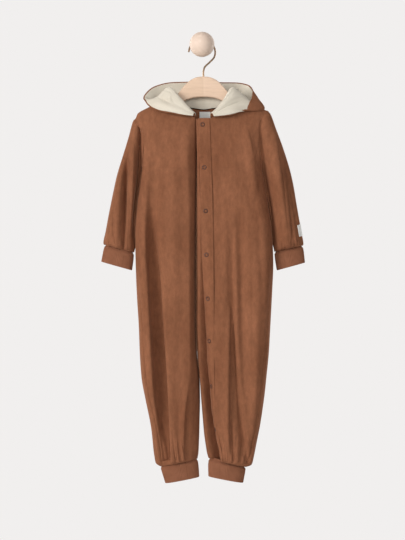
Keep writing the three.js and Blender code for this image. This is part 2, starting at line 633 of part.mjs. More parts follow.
function sleeveGrid(name) {
  const rings = sleeves[name];
  const loop = armholeLoop(halves[name]);
  const grid = [loop];
  rings.forEach((ring, r) => {
    const hold = [0.55, 0.22, 0.06][r] ?? 0;
    grid.push(loop.map((start, side) => {
      const point = ringPoint(ring, side);
      const soft = ringPoint(rings[0], side).sub(start).multiplyScalar(-1).add(point);
      return point.lerp(soft, hold);
    }));
  });
  return grid;
}

// Moves a sleeve's points out or in where its long folds and its gathers are.
function foldSleeve(grid, normals, mirrored) {
  const last = grid.length - 1;
  grid.forEach((row, r) => row.forEach((point, side) => {
    if (r === 0 || r === last) return;
    const down = r / last;
    const angle = (2 * Math.PI * side) / ringSides;
    let height = 0;
    for (const fold of sleeveFolds) {
      const along = (down - fold.from) / (fold.to - fold.from);
      const across = (angle - fold.angle - fold.drift * down * (mirrored ? -1 : 1)) / fold.width;
      if (along > 0 && along < 1 && abs(across) < 1) {
        height += fold.out * sin(Math.PI * along) ** 0.7 * cos(QUARTER * across) ** 2;
      }
    }
    const near = clamp01(1 - (last - r) / sleeveGather.rings);
    height += sleeveGather.out * near * sin(sleeveGather.waves * angle + 0.7);
    const isInner = cos(angle) < -0.55;
    point.addScaledVector(normals[r][side], isInner ? min(0, height) : height);
  }));
}

// Near the shoulder a sleeve's edge takes the body's directions, so that the two meet end to end.
function meetArmhole(normals, name) {
  normals[0].forEach((normal, side) => {
    const isFront = side <= ringSides / 2;
    const step = isFront ? side : ringSides - side;
    const body = panels[`${isFront ? 'front' : 'back'}_${name}`].normals[step][0];
    normal.lerp(body, 1 - ease((upperSteps[step] - 0.45) / 0.3)).normalize();
  });
  return normals;
}

const sleeveWalls = {};
for (const name of Object.keys(halves)) {
  const grid = sleeveGrid(name);
  const { way } = halves[name];
  foldSleeve(grid, gridNormals(grid, way, true), name === 'left');
  const normals = meetArmhole(gridNormals(grid, way, true), name);
  sleeveWalls[name] = { grid, normals };
  add(`sleeve_${name}`, wall(grid, normals, velour, true), 'velour');
}

// Ribbed cuffs, each from its gathered end to its free end. The first rings lie inside the hem.
const cuffs = {
  wrist_right: [
    { outerX: -194, outerZ: -400, innerX: -136.5, innerZ: -415.5, front: -55, back: -30 },
    { outerX: -201.4, outerZ: -434.5, innerX: -142, innerZ: -451.4, front: -54.5, back: -30.5 },
  ],
  wrist_left: [
    { outerX: 201.4, outerZ: -402, innerX: 145, innerZ: -414, front: -55, back: -30 },
    { outerX: 205.8, outerZ: -436.4, innerX: 151.8, innerZ: -451.4, front: -54.5, back: -30.5 },
  ],
  ankle_right: [
    { outerX: -83.4, outerZ: -843.4, innerX: -9.6, innerZ: -828.6, front: -62, back: -30 },
    { outerX: -72.6, outerZ: -877.4, innerX: -7, innerZ: -865, front: -61, back: -31 },
  ],
  ankle_left: [
    { outerX: 88, outerZ: -844.4, innerX: 13.6, innerZ: -827, front: -62, back: -30 },
    { outerX: 81.6, outerZ: -876.6, innerX: 14.4, innerZ: -864, front: -61, back: -31 },
  ],
};
const cuffRings = [
  { along: -0.06, tuck: 1 }, { along: 0.02, tuck: 1 }, { along: 0.16, tuck: 0.15 }, { along: 1, tuck: 0 },
];
const cuffTucks = { wrist_right: 3.4, wrist_left: 3.6, ankle_right: 3, ankle_left: 5.4 };

function cuffRing([first, last], along, inset) {
  const ring = {};
  for (const key of Object.keys(first)) ring[key] = mix(first[key], last[key], along);
  const chord = sign(ring.innerX - ring.outerX);
  ring.outerX += chord * inset;
  ring.innerX -= chord * inset;
  ring.front += inset;
  ring.back -= inset;
  return Array.from({ length: ringSides }, (_, side) => ringPoint(ring, side));
}

for (const [name, ends] of Object.entries(cuffs)) {
  const grid = cuffRings.map(({ along, tuck }) => cuffRing(ends, along, tuck * cuffTucks[name]));
  const { way } = name.endsWith('right') ? halves.right : halves.left;
  add(`cuff_${name}`, wall(grid, gridNormals(grid, way, true), ribbing, true), 'ribbing');
}

// Hood, laid open round the hanger: a row for each section from the right front round the back
// to the left front. neck is the X on the neckline, roll the top of the fold, rim the free edge,
// and pouch how far the cloth falls between them, with spread and belly moving its bottom in X and Y.
const hoodSections = [
  { face: 'front', neck: -13, rollX: -15, rollY: -71, rollZ: -141, rimX: -18, rimY: -76, rimZ: -146, pouch: 0, spread: 0, belly: 0 },
  { face: 'front', neck: -24, rollX: -25, rollY: -69, rollZ: -130, rimX: -35, rimY: -76, rimZ: -144.4, pouch: 0, spread: 0, belly: 0 },
  { face: 'front', neck: -38, rollX: -38, rollY: -64, rollZ: -114, rimX: -61, rimY: -74, rimZ: -140, pouch: 0, spread: 0, belly: 0 },
  { face: 'front', neck: -52, rollX: -53, rollY: -58.5, rollZ: -98, rimX: -88.6, rimY: -66, rimZ: -134, pouch: 0, spread: 0, belly: 0 },
  { face: 'front', neck: -60, rollX: -63.5, rollY: -51.5, rollZ: -85, rimX: -109, rimY: -54, rimZ: -122, pouch: 2, spread: 0, belly: 0 },
  { face: 'back', neck: -61, rollX: -72, rollY: -39, rollZ: -86, rimX: -115.6, rimY: -39.5, rimZ: -108, pouch: 6, spread: 0, belly: 0 },
  { face: 'back', neck: -52, rollX: -65, rollY: -29, rollZ: -90, rimX: -107.6, rimY: -24, rimZ: -92.4, pouch: 32, spread: 0, belly: 2 },
  { face: 'back', neck: -34, rollX: -40, rollY: -27, rollZ: -96, rimX: -86, rimY: -10, rimZ: -80, pouch: 80, spread: 3, belly: 0 },
  { face: 'back', neck: -14, rollX: -17, rollY: -26, rollZ: -98, rimX: -42, rimY: -7, rimZ: -74, pouch: 104, spread: 3, belly: 0 },
  { face: 'back', neck: 3, rollX: 3, rollY: -26, rollZ: -99, rimX: 3, rimY: -6.5, rimZ: -73, pouch: 112, spread: 0, belly: 0 },
  { face: 'back', neck: 20, rollX: 23, rollY: -26, rollZ: -98, rimX: 44, rimY: -7, rimZ: -76, pouch: 104, spread: -3, belly: 0 },
  { face: 'back', neck: 40, rollX: 46, rollY: -27, rollZ: -96, rimX: 80, rimY: -9, rimZ: -78, pouch: 84, spread: 2, belly: 0 },
  { face: 'back', neck: 58, rollX: 69, rollY: -29, rollZ: -90, rimX: 98, rimY: -15, rimZ: -84, pouch: 46, spread: 16, belly: 2 },
  { face: 'back', neck: 69, rollX: 77, rollY: -37, rollZ: -86, rimX: 102, rimY: -28, rimZ: -96, pouch: 24, spread: 15, belly: 4 },
  { face: 'front', neck: 67, rollX: 71, rollY: -51.5, rollZ: -84, rimX: 102, rimY: -47, rimZ: -111, pouch: 3, spread: 2, belly: 0 },
  { face: 'front', neck: 58, rollX: 57.5, rollY: -58.5, rollZ: -97, rimX: 90, rimY: -66, rimZ: -133, pouch: 0, spread: 0, belly: 0 },
  { face: 'front', neck: 44, rollX: 44, rollY: -64, rollZ: -113, rimX: 61, rimY: -74, rimZ: -143.6, pouch: 0, spread: 0, belly: 0 },
  { face: 'front', neck: 30, rollX: 31, rollY: -69, rollZ: -129, rimX: 37, rimY: -76.6, rimZ: -146.4, pouch: 0, spread: 0, belly: 0 },
  { face: 'front', neck: 17, rollX: 19, rollY: -71.5, rollZ: -141, rimX: 24, rimY: -77, rimZ: -147, pouch: 0, spread: 0, belly: 0 },
];
const hoodSteps = { around: 26, down: 11, soften: 4 };
const rollWidth = 7.2;
const neckGap = 2;

function hoodSection(section) {
  const half = section.neck < 3 ? halves.right : halves.left;
  const neck = vector(
    section.neck,
    read(half.top[section.face], 'x', 'y', section.neck),
    read(half.top[section.face], 'x', 'z', section.neck) + neckGap,
  );
  const roll = vector(section.rollX, section.rollY, section.rollZ);
  const rim = vector(section.rimX, section.rimY, section.rimZ);
  const over = vector(rim.x - neck.x, rim.y - neck.y, 0).setLength(rollWidth / 2);
  const crest = roll.clone().add(over);
  const between = (share, depth, fall) => vector(
    mix(crest.x, rim.x, share) + section.spread * fall,
    mix(crest.y, rim.y, depth) + section.belly * fall,
    mix(crest.z, rim.z, share) - section.pouch * fall,
  );
  return new THREE.CatmullRomCurve3([
    neck, roll.clone().sub(over), crest,
    between(0.28, 0.28, 0.55), between(0.42, 0.3, 0.96), between(0.58, 0.84, 0.96), between(0.72, 0.88, 0.55),
    rim,
  ]);
}

// The hood's cloth as rows from the right front round to the left front.
const hoodCurves = hoodSections.map(hoodSection);
const hoodGrid = [];
for (let a = 0; a <= hoodSteps.around; a += 1) {
  const row = [];
  for (let d = 0; d <= hoodSteps.down; d += 1) {
    const across = new THREE.CatmullRomCurve3(hoodCurves.map((curve) => curve.getPoint(d / hoodSteps.down)));
    row.push(across.getPoint(a / hoodSteps.around));
  }
  hoodGrid.push(row);
}
softened(hoodGrid, hoodSteps.soften);
const hoodNormals = gridNormals(hoodGrid, 1);
add('hood_shell', wall(hoodGrid, hoodNormals, velour), 'velour');

// The lining lies inside the hood and stops short of its rim.
const liningGap = 1;
const liningLift = velour / 2 + liningGap + jersey / 2;
const rimBand = 2.6;
const liningGrid = hoodGrid.map((row, a) => row.map((point, d) => (
  point.clone().addScaledVector(hoodNormals[a][d], -liningLift)
)));
liningGrid.forEach((row) => {
  const [before, end] = [row[row.length - 2], row[row.length - 1]];
  end.add(before.clone().sub(end).setLength(rimBand));
});
add('hood_lining', wall(liningGrid, hoodNormals, jersey), 'jersey');

// Bare woven labels: one hangs from the back of the neck, one is folded round a sleeve's outer edge.
const neckLabel = { width: 22, height: 22, thickness: 0.8, x: 6, y: -33.6, z: -144 };
const sleeveLabel = { thickness: 1, rings: [7.1, 7.5, 7.95], sides: [0.3, 1, 2, 3, 3.7] };

// A point and its direction between a sleeve's grid points.
function onSleeve({ grid, normals }, ring, side) {
  const [r, c] = [Math.floor(ring), Math.floor(side)];
  const blend = (list) => list[r][c].clone().lerp(list[r][c + 1], side - c)
    .lerp(list[r + 1][c].clone().lerp(list[r + 1][c + 1], side - c), ring - r);
  return { point: blend(grid), normal: blend(normals).normalize() };
}

const labelSpots = sleeveLabel.rings.map((ring) => (
  sleeveLabel.sides.map((side) => onSleeve(sleeveWalls.left, ring, side))
));
const labelLift = (velour + sleeveLabel.thickness) / 2 + seamGap;
add('label_sleeve', wall(
  labelSpots.map((row) => row.map(({ point, normal }) => point.addScaledVector(normal, labelLift))),
  labelSpots.map((row) => row.map(({ normal }) => normal)),
  sleeveLabel.thickness,
), 'label');
add('label_neck', new THREE.BoxGeometry(neckLabel.width, neckLabel.thickness, neckLabel.height), 'label')
  .position.set(neckLabel.x, neckLabel.y, neckLabel.z);

// Hanger: an arched wooden bar cut from board, seen from the front
const barTop = [
  [0, -63], [14, -64.5], [28, -71.5], [40, -83], [50, -96], [60, -109.2], [88, -121.2], [110, -131.2], [120, -138.2],
];
const barBottom = [
  [121, -145], [116, -150], [104, -149], [80, -138.5], [56, -124], [38, -112.5], [22, -106.5], [8, -104.6],
];

function barShape() {
  const across = ([x, z]) => new THREE.Vector2(x, z);
  const half = [...new THREE.SplineCurve(barTop.map(across)).getPoints(13),
    ...new THREE.SplineCurve(barBottom.map(across)).getPoints(11)];
  const other = half.slice(1).reverse().map(({ x, y }) => new THREE.Vector2(-x, y));
  return new THREE.Shape([...half, ...other]);
}

const bar = new THREE.ExtrudeGeometry(barShape(), {
  depth: hanger.thickness - 2 * hanger.bevel,
  bevelEnabled: true,
  bevelThickness: hanger.bevel,
  bevelSize: hanger.bevel,
  bevelOffset: -hanger.bevel,
  bevelSegments: 2,
});
bar.translate(0, 0, -(hanger.thickness - 2 * hanger.bevel) / 2);
bar.rotateX(QUARTER);
const barPoints = bar.attributes.position;
for (let i = 0; i < barPoints.count; i += 1) {
  barPoints.setY(i, barPoints.getY(i) * (1 - hanger.taper * abs(barPoints.getX(i))));
}
add('hanger_bar', bar, 'wood').position.set(hanger.centre, hanger.y, 0);

// Hook: bent wire that hangs on the knob's stem behind the ball and leans forward to the bar
class HookLine extends THREE.Curve {
  constructor(points) {
    super();
    this.line = new THREE.CatmullRomCurve3(points);
  }

  getPoint(t) {
    return this.line.getPointAt(t);
  }
}

const hookCentre = { x: 0, z: knob.stemRadius + seamGap + wire.radius - wire.bend };
const hookY = (z) => mix(-25, hanger.y, ease((20 - z) / 85));
const hookPoints = [];
for (let degrees = 176; degrees >= -24; degrees -= 20) {
  const angle = THREE.MathUtils.degToRad(degrees);
  const [x, z] = [hookCentre.x + wire.bend * cos(angle), hookCentre.z + wire.bend * sin(angle)];
  hookPoints.push(vector(x, hookY(z), z));
}
for (const [x, z] of [[15, -34], [6, -43], [hanger.centre, -52], [hanger.centre, -62.7]]) {
  hookPoints.push(vector(x, hookY(z), z));
}
const wireSection = new THREE.Shape();
wireSection.absarc(0, 0, wire.radius, 0, 2 * Math.PI);
const hook = new THREE.ExtrudeGeometry(wireSection, {
  steps: wire.steps, curveSegments: wire.sides, extrudePath: new HookLine(hookPoints),
});
add('hanger_hook', hook, 'steel');

// Knob: a ball on a stem whose back face lies on the wall
function knobGeometry() {
  const joint = Math.asin(knob.stemRadius / knob.ballRadius);
  const ballSteps = 9;
  const profile = [[0, 0], [knob.stemRadius, 0]];
  for (let i = 0; i <= ballSteps; i += 1) {
    const angle = mix(Math.PI - joint, 0, i / ballSteps);
    profile.push([i === ballSteps ? 0 : knob.ballRadius * sin(angle), -knob.ballY + knob.ballRadius * cos(angle)]);
  }
  return new THREE.LatheGeometry(profile.map(([x, y]) => new THREE.Vector2(x, y)), knob.sides);
}

add('wall_knob', knobGeometry().rotateX(Math.PI), 'wood');

export default pajama;
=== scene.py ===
# A toddler's hooded velour one-piece on a small wooden hanger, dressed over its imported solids.
# Lengths are millimetres until a mesh is made. X runs to the viewer's right, Z is up and the
# front faces -Y. Left and right are the wearer's, so the right side has negative X.

import math

import bpy
import numpy as np
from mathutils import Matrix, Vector


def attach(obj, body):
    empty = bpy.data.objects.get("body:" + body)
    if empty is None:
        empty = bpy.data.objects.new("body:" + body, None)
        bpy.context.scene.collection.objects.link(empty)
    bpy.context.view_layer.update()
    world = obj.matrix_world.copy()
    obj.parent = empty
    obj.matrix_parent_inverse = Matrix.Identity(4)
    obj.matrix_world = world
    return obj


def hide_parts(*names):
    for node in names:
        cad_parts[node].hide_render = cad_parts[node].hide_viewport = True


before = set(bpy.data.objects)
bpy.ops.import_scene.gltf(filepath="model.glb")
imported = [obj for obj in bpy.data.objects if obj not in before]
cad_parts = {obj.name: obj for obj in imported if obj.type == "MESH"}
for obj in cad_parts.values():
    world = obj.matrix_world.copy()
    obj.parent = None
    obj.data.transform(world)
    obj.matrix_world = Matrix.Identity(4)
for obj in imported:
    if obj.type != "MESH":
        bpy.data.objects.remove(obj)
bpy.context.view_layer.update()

MM = 0.001
PI = math.pi
QUARTER = PI / 2

VELOUR = 1.8
JERSEY = 1.1
RIBBING = 2.2
SHOULDER_Y = -42.5
SHOULDER_ROUND = 0.35
CHEST_TOP = -150
UNDERARM = {"z": -247, "y": -47}
CROTCH_Z = -608
ARMHOLE_DEPTH = {"front": -63, "back": -33}
SIDE_SEAM = {"y": -46, "settle": 100}
PLACKET = {
    "width": 24, "thickness": 2.6, "clearance": 3.2, "valley": 2.4, "turned": 0.93, "rise": 0.03,
    "lift": 0.4, "flush": -0.4, "flush_from": -470, "flush_over": 140,
}
EDGE_RIPPLE = {"from": -560, "over": 60, "long": 0.5, "long_wave": 13.1, "short": 0.4, "short_wave": 5.3}
SIDE_ROUND = 24
ARMHOLE_BLEND = 0.05
BACK_ROUND = 14
FRONT_CROWN = 2
FRONT_ROLL = 0.7
KNOB = {"ball": 25, "y": -54, "stem": 12, "stem_length": 24, "facets": 96}
WIRE = {"radius": 1.8, "bend": 26.6}
HANGER = {"x": 3, "y": -43, "thickness": 10.6, "round": 3.4, "taper": 0.006}
SHARP = {"panel": 70, "knob": 50}


def mix(a, b, t):
    return a + (b - a) * t


def clamp01(t):
    return np.clip(t, 0.0, 1.0)


def ease(t):
    t = clamp01(t)
    return t * t * (3 - 2 * t)


def unit(vectors):
    return vectors / np.maximum(np.linalg.norm(vectors, axis=-1, keepdims=True), 1e-9)


def arch(t, power=1):
    """0 at both ends of a stretch and 1 at its middle."""
    return np.sin(PI * clamp01(t)) ** power


def hump(across):
    return np.cos(QUARTER * np.clip(across, -1, 1)) ** 2


def bell(x, middle, width):
    return np.exp(-((x - middle) / width) ** 2)


def round_angles(count):
    return 2 * PI * np.arange(count) / count


def held(count, first, last):
    """1 along a row of points, falling to 0 at its ends over so many of them."""
    at = np.arange(count)
    return clamp01(at / first) * clamp01((count - 1 - at) / last)


def table(columns, rows):
    """A table of named columns from rows of numbers."""
    return {name: np.array([row[i] for row in rows], float) for i, name in enumerate(columns.split())}


def read(rows, column, at):
    """A column of a table at values of its first one, on a smooth curve that stays between its rows."""
    keys, values = next(iter(rows.values())), rows[column]
    if keys[0] > keys[-1]:
        keys, values = keys[::-1], values[::-1]
    at = np.clip(np.asarray(at, float), keys[0], keys[-1])
    between = np.diff(values) / np.diff(keys)
    slopes = np.zeros(len(keys))
    slopes[0], slopes[-1] = between[0], between[-1]
    before, after = between[:-1], between[1:]
    same = before * after > 0
    total = np.where(same, before + after, 1)
    slopes[1:-1] = np.where(same, 2 * before * after / total, 0)
    i = np.clip(np.searchsorted(keys, at, side="right") - 1, 0, len(keys) - 2)
    span = keys[i + 1] - keys[i]
    t = (at - keys[i]) / span
    t2, t3 = t * t, t * t * t
    return (
        (2 * t3 - 3 * t2 + 1) * values[i]
        + (t3 - 2 * t2 + t) * span * slopes[i]
        + (3 * t2 - 2 * t3) * values[i + 1]
        + (t3 - t2) * span * slopes[i + 1]
    )


# Sections of the wearer's right half
RIGHT_BODY = table("z side ridge inseam front back fork turn", [
    (-150, -136, -24, -13.6, -67, -31, -60, 0),
    (-200, -115, -30, -12.4, -68, -31, -54, 0),
    (-247, -120, -30, -12, -69, -31, -47, 0),
    (-310, -129, -27, -12.6, -72, -28, -46, 0),
    (-380, -133, -26, -13.2, -76, -25, -46, 0),
    (-440, -132, -26, -13.6, -79, -23, -46, 0.1),
    (-500, -129.5, -25.5, -14, -80, -22, -46, 0.3),
    (-560, -126, -25, -13.4, -80, -21, -46, 0.5),
    (-615, -124, -24, -11, -79, -21, -47, 0.6),
    (-665, -120.5, -26, -5.8, -77, -21, -47, 0.65),
    (-710, -112.5, -32, -4.8, -75, -21, -47, 0.65),
    (-755, -102.5, -35.5, -5.6, -73, -22, -47, 0.65),
    (-790, -96.5, -36, -6.4, -72, -23, -47, 0.6),
    (-815, -93, -35, -8, -71, -24, -46.5, 0.55),
    (-829, -90.5, -34, -9, -69, -26, -46, 0.5),
    (-836, -83.4, -33, -9.6, -62, -30, -46, 0.4),
])

# Sections of the wearer's left half, with the free edge of the snap band
LEFT_BODY = table("z side seam edge ridge inseam front back fork turn", [
    (-150, 131.4, 16, -8.5, -11, -9.8, -67, -31, -61, 0),
    (-200, 111, 17.8, -7, -10, -9, -68, -31, -54, 0),
    (-247, 119, 19.5, -4, -7, -9.4, -69, -31, -47, 0),
    (-310, 130, 21.6, -2.4, -6, -10, -72, -28, -46, 0),
    (-380, 139.5, 23, -0.8, -5.6, -10.6, -76, -25, -46, 0),
    (-440, 142, 23.8, 1.4, -5.4, -11, -79, -23, -46, 0.1),
    (-500, 139.6, 24.2, 5, -5.6, -11.4, -80, -22, -46, 0.3),
    (-560, 136, 24.2, 8, -6.4, -11.2, -80, -21, -46, 0.5),
    (-615, 133.6, 24.6, 10.4, -5.6, -9, -79, -21, -47, 0.6),
    (-665, 128.6, 25, 14.4, -2.4, -3.9, -77, -21, -47, 0.65),
    (-710, 123.6, 25.4, 18.4, 2.6, -0.8, -75, -21, -47, 0.65),
    (-755, 116, 27.6, 23, 6.4, 2.6, -73, -22, -47, 0.65),
    (-790, 108, 33, 29.4, 9, 5.4, -72, -23, -47, 0.6),
    (-815, 102.5, 38, 35, 13, 9, -71, -24, -46.5, 0.55),
    (-829, 98.5, 40, 37, 17, 11.6, -69, -26, -46, 0.5),
    (-836, 88, 41, 38.4, 21, 13.6, -62, -30, -46, 0.4),
])

CENTRE_BACK = table("z x turn", [
    (-131, 3, 0), (-400, 1, 0), (-520, -5, 0.05), (-575, -10, 0.45), (-615, -10, 1),
])
RIGHT_ARMHOLE = table("z x", [
    (-150, -136), (-158, -129), (-171, -120.6), (-188, -115.4), (-211, -115.4), (-230, -117.2), (-247, -120),
])
LEFT_ARMHOLE = table("z x", [
    (-132, 131.4), (-143, 121.5), (-154, 114.8), (-175, 111), (-201, 111.8), (-225, 115.4), (-247, 119),
])
RIGHT_SHOULDER = [
    (-136, -150, -42.5), (-129, -138, -42.5), (-110, -127, -42.5), (-86, -115.5, -42.5), (-64, -103.5, -42.5),
]
LEFT_SHOULDER = [(131.4, -132, -42.5), (112, -125.5, -42.5), (92, -115.5, -42.5), (70, -103.5, -42.5)]
RIGHT_TOP = {
    "front": table("x z y", RIGHT_SHOULDER + [
        (-54, -114, -51), (-38, -131, -58), (-20, -144, -64), (-8, -149.5, -66),
    ]),
    "back": table("x z y", RIGHT_SHOULDER + [(-54, -112, -35.5), (-30, -125, -32), (3, -130, -31.5)]),
}
LEFT_TOP = {
    "front": table("x z y", LEFT_SHOULDER + [
        (60, -114, -51), (44, -131, -58), (26, -145, -64), (6, -151, -67), (-11, -153, -68),
    ]),
    "back": table("x z y", LEFT_SHOULDER + [(60, -112, -35.5), (36, -125, -32), (3, -130, -31.5)]),
}

# Long folds: start and end of the middle line, half width and how far it stands out
FOLDS = {
    "front_right": [
        (-100, -300, -74, -850, 18, -10), (-60, -170, -52, -480, 20, 2.5),
        (-112, -210, -118, -480, 12, 3),
    ],
    "front_left": [
        (76, -330, 88, -860, 16, -7), (56, -520, 51, -855, 10, 4.5), (90, -160, 112, -340, 17, 3.5),
        (112, -420, 104, -840, 12, 3),
    ],
    "back_right": [(-88, -260, -66, -850, 18, -5), (-40, -300, -40, -850, 14, 3)],
    "back_left": [(92, -260, 76, -850, 18, -5), (44, -300, 46, -850, 14, 3)],
}

# Finer creases laid on the folds: the same, with how far the middle line bows sideways
CREASES = {
    "front_right": [
        (-100, -330, -62, -930, (20, 5), -22, 3), (-77, -500, -56, -910, (3, 20), 3, 2),
        (-27, -672, -33, -856, (8, 2.6), 3.6, -6.5), (-24, -690, -28, -856, (3, 8), -2.4, -6),
        (-60, -300, -56, -620, (16, 12), 1.2, 2), (-42, -796, -36, -828, (3, 1.6), 2),
        (-38, -800, -33, -832, (2, 3), -2), (-97, -190, -96, -310, (12, 10), -2, 2),
        (-110, -240, -108, -420, (10, 9), 1.4, 1), (-116, -262, -90, -300, 8, -1.4, -3),
        (-46, -560, -48, -790, (12, 9), -1.4, 1), (-50, -812, -49, -838, 2.2, -1.2),
        (-57, -808, -55, -838, 2.2, 1.2), (-22, -812, -22, -838, 2.4, 1.2),
        (-16, -806, -15, -838, 2.2, -1.1),
        (-66, -160, -62, -260, (14, 12), -1.2, 2), (-30, -160, -34, -240, (8, 8), 1.0),
        (-84, -812, -83, -838, 2.6, 1.2),
    ],
    "front_left": [
        (62, -360, 98, -880, (16, 4.5), -10, -13), (51, -540, 52, -872, (11, 2.4), 3.2),
        (57, -640, 59, -872, (3.5, 8), -3.2), (56, -735, 62, -814, (5, 2.2), -2.8),
        (61, -740, 66, -820, (2.4, 5), 1.6), (80, -680, 100, -860, (3, 9), 2.2, -3),
        (46, -806, 48, -838, 2.2, -1.2), (41, -806, 42, -838, 2.2, 1.2),
        (57, -812, 59, -838, 1.8, 1.5), (63, -810, 66, -838, 1.8, -1.3),
        (69, -808, 72, -838, 2.4, 1.6), (79, -810, 82, -838, 2.2, 1.1),
        (88, -165, 100, -217, (5, 2.2), 1.3, 1), (116, -190, 104, -236, (3, 5), -1.0, 1),
        (44, -300, 46, -560, (9, 10), 1.4, 1), (118, -262, 100, -330, 8, -1.6, 3),
        (60, -180, 66, -330, (13, 11), 1.4, 2), (34, -200, 37, -420, (8, 9), -1.2, 1),
        (57, -273, 79, -276, 1.1, 0.35, 1), (112, -330, 118, -520, (9, 7), -1.6, 1),
    ],
    "back_right": [
        (-108, -252, -70, -300, 9, -2.4, -4), (-100, -262, -84, -380, (10, 7), -2.2, -3),
        (-64, -420, -60, -640, (12, 9), 2, 3), (-26, -380, -30, -600, 9, 1.6, -2),
        (-52, -640, -48, -838, (9, 5), -3.4, -2), (-78, -720, -70, -838, (7, 4), 2.2, -1),
        (-34, -780, -36, -838, 3, 1.6), (-62, -796, -60, -838, 2.8, -1.6),
        (-90, -600, -84, -760, 8, 1.8, -2), (-44, -800, -45, -838, 2.4, -1.4),
        (-70, -806, -68, -838, 2.4, 1.4), (-24, -806, -26, -838, 2.4, -1.2),
        (-20, -560, -62, -600, (6, 10), -2.2, 4), (-16, -590, -52, -660, (5, 8), -1.8, 3),
        (-60, -150, -52, -250, 13, -1.6, -2),
    ],
    "back_left": [
        (108, -252, 72, -306, 9, -2.4, 4), (104, -262, 90, -390, (7, 10), -2.2, 3),
        (70, -400, 62, -620, (9, 12), 2, -3), (22, -400, 28, -610, 9, 1.6, 2),
        (58, -640, 54, -838, (5, 9), -3.4, 2), (84, -710, 78, -838, (4, 7), 2.2, 1),
        (40, -780, 42, -838, 3, 1.6), (68, -796, 67, -838, 2.8, -1.6), (100, -600, 92, -770, 8, 1.8, 2),
        (50, -800, 51, -838, 2.4, -1.4), (76, -806, 74, -838, 2.4, 1.4),
        (30, -806, 32, -838, 2.4, -1.2),
        (10, -560, 58, -606, (10, 6), -2.2, -4), (8, -590, 50, -664, (8, 5), -1.8, -3),
        (66, -150, 56, -260, 13, -1.6, 2),
    ],
    "sleeve_right_front": [
        (-123.5, -140, -136, -390, (4.5, 9), -20, 2), (-137.5, -150, -143, -420, (5, 5), 5, 2),
        (-147, -205, -156, -425, (11.5, 3.2), -18), (-168, -215, -182, -405, (5, 6), -2.5),
        (-179, -330, -181, -402, (4, 3), 1.6), (-176, -374, -171, -406, 2.2, -2),
        (-163, -384, -163, -408, 2.2, 1.4), (-156, -386, -157, -409, 2, -1.4),
        (-186, -384, -186, -404, 2, -1.2),
    ],
    "sleeve_left_front": [
        (115, -140, 141, -410, (8, 9), -11), (144, -150, 171, -395, (15, 2.6), 3.4, -1),
        (168, -270, 182, -416, (3, 8), -3.6), (158, -176, 172, -280, (3, 8), -1.2),
        (176, -384, 178, -406, 2, -1.8), (169, -386, 170, -408, 2, 1.5),
        (160, -390, 161, -410, 2, -1.2),
        (186, -384, 189, -404, 2.2, 1.5),
    ],
    "sleeve_right_back": [
        (-128, -180, -140, -360, (6, 9), -4, 1), (-158, -210, -172, -398, (9, 7), -4, -2),
        (-146, -200, -156, -404, (5, 6), 2, 1), (-176, -384, -174, -404, 2.2, -1.5),
        (-160, -386, -161, -408, 2.2, 1.5), (-150, -388, -150, -410, 2.2, -1.3),
    ],
    "sleeve_left_back": [
        (130, -190, 146, -366, (9, 6), -4, -1), (160, -200, 178, -398, (7, 9), -4, 2),
        (148, -200, 162, -404, (6, 5), 2, -1), (182, -384, 184, -404, 2.2, -1.5),
        (168, -386, 169, -408, 2.2, 1.5), (158, -388, 158, -410, 2.2, -1.3),
    ],
}
GATHER = {"waves": 5.5, "out": 1.3, "finer_waves": 2.7, "finer_out": 0.4, "from": -765, "to": -836}
UPPER = np.array([0, 0.035, 0.1, 0.19, 0.28, 0.37, 0.46, 0.55, 0.64, 0.73, 0.82, 0.91, 1])
HALVES = {
    "right": {
        "way": -1, "body": RIGHT_BODY, "armhole": RIGHT_ARMHOLE, "top": RIGHT_TOP, "hem": 0.2,
        "middle": -46.5, "phase": 0.4, "neck_point": 64,
    },
    "left": {
        "way": 1, "body": LEFT_BODY, "armhole": LEFT_ARMHOLE, "top": LEFT_TOP, "hem": -0.234,
        "middle": 50.8, "phase": 1.3, "neck_point": 70,
    },
}
SLANT_FROM = -700
# The side seam's stitched line on the lower body: how far round from the seam, and the swell beside it
SIDE_LINE = {"from": -400, "settle": 200, "in": 13, "deep": 1.8, "width": 1.7, "swell": (0.9, 8, 3.5)}
CREASE_SHARPNESS = 1.6
# Slow waves of hung cloth: how often across and down, and how far out
SLACK_WAVES = [
    (0.110, 0.014, 0.3), (0.067, 0.031, 0.26), (0.171, 0.021, 0.16), (0.043, 0.052, 0.22), (0.24, 0.037, 0.1),
]


def crease(x, z, x0, z0, x1, z1, width, out, bow=0):
    """The height of one crease, whose middle line bows sideways. On a line that runs down, a pair of
    widths is for its left and right sides as seen from the front."""
    dx, dz = x1 - x0, z1 - z0
    length = math.hypot(dx, dz)
    along = clamp01(((x - x0) * dx + (z - z0) * dz) / length**2)
    across = ((z - z0) * dx - (x - x0) * dz) / length - bow * np.sin(PI * along)
    before, after = width if isinstance(width, tuple) else (width, width)
    across = across / np.where(across < 0, before, after)
    return out * arch(along, 0.75) * np.exp(-CREASE_SHARPNESS * across**2)


def crease_height(rows, x, z):
    """How far the finer creases move the cloth out at a point."""
    return sum(crease(x, z, *row) for row in rows)


def fold_height(rows, x, z):
    """How far the long folds move the cloth out at a point."""
    height = np.zeros(np.broadcast(x, z).shape)
    for x0, z0, x1, z1, width, out in rows:
        along = (z0 - z) / (z0 - z1)
        height += out * arch(clamp01(along) ** 0.7, 0.8) * hump((x - mix(x0, x1, along)) / width)
    return height


def slackness(x, z, seed):
    """Slight unevenness of hung cloth, more up and down than across."""
    height = 0
    for i, (kx, kz, out) in enumerate(SLACK_WAVES):
        across, down = kx * x + 1.7 * i + seed, kz * z + 2.3 * i + seed * 0.6 + 0.02 * x
        height = height + out * np.sin(across) * np.sin(down)
    return height


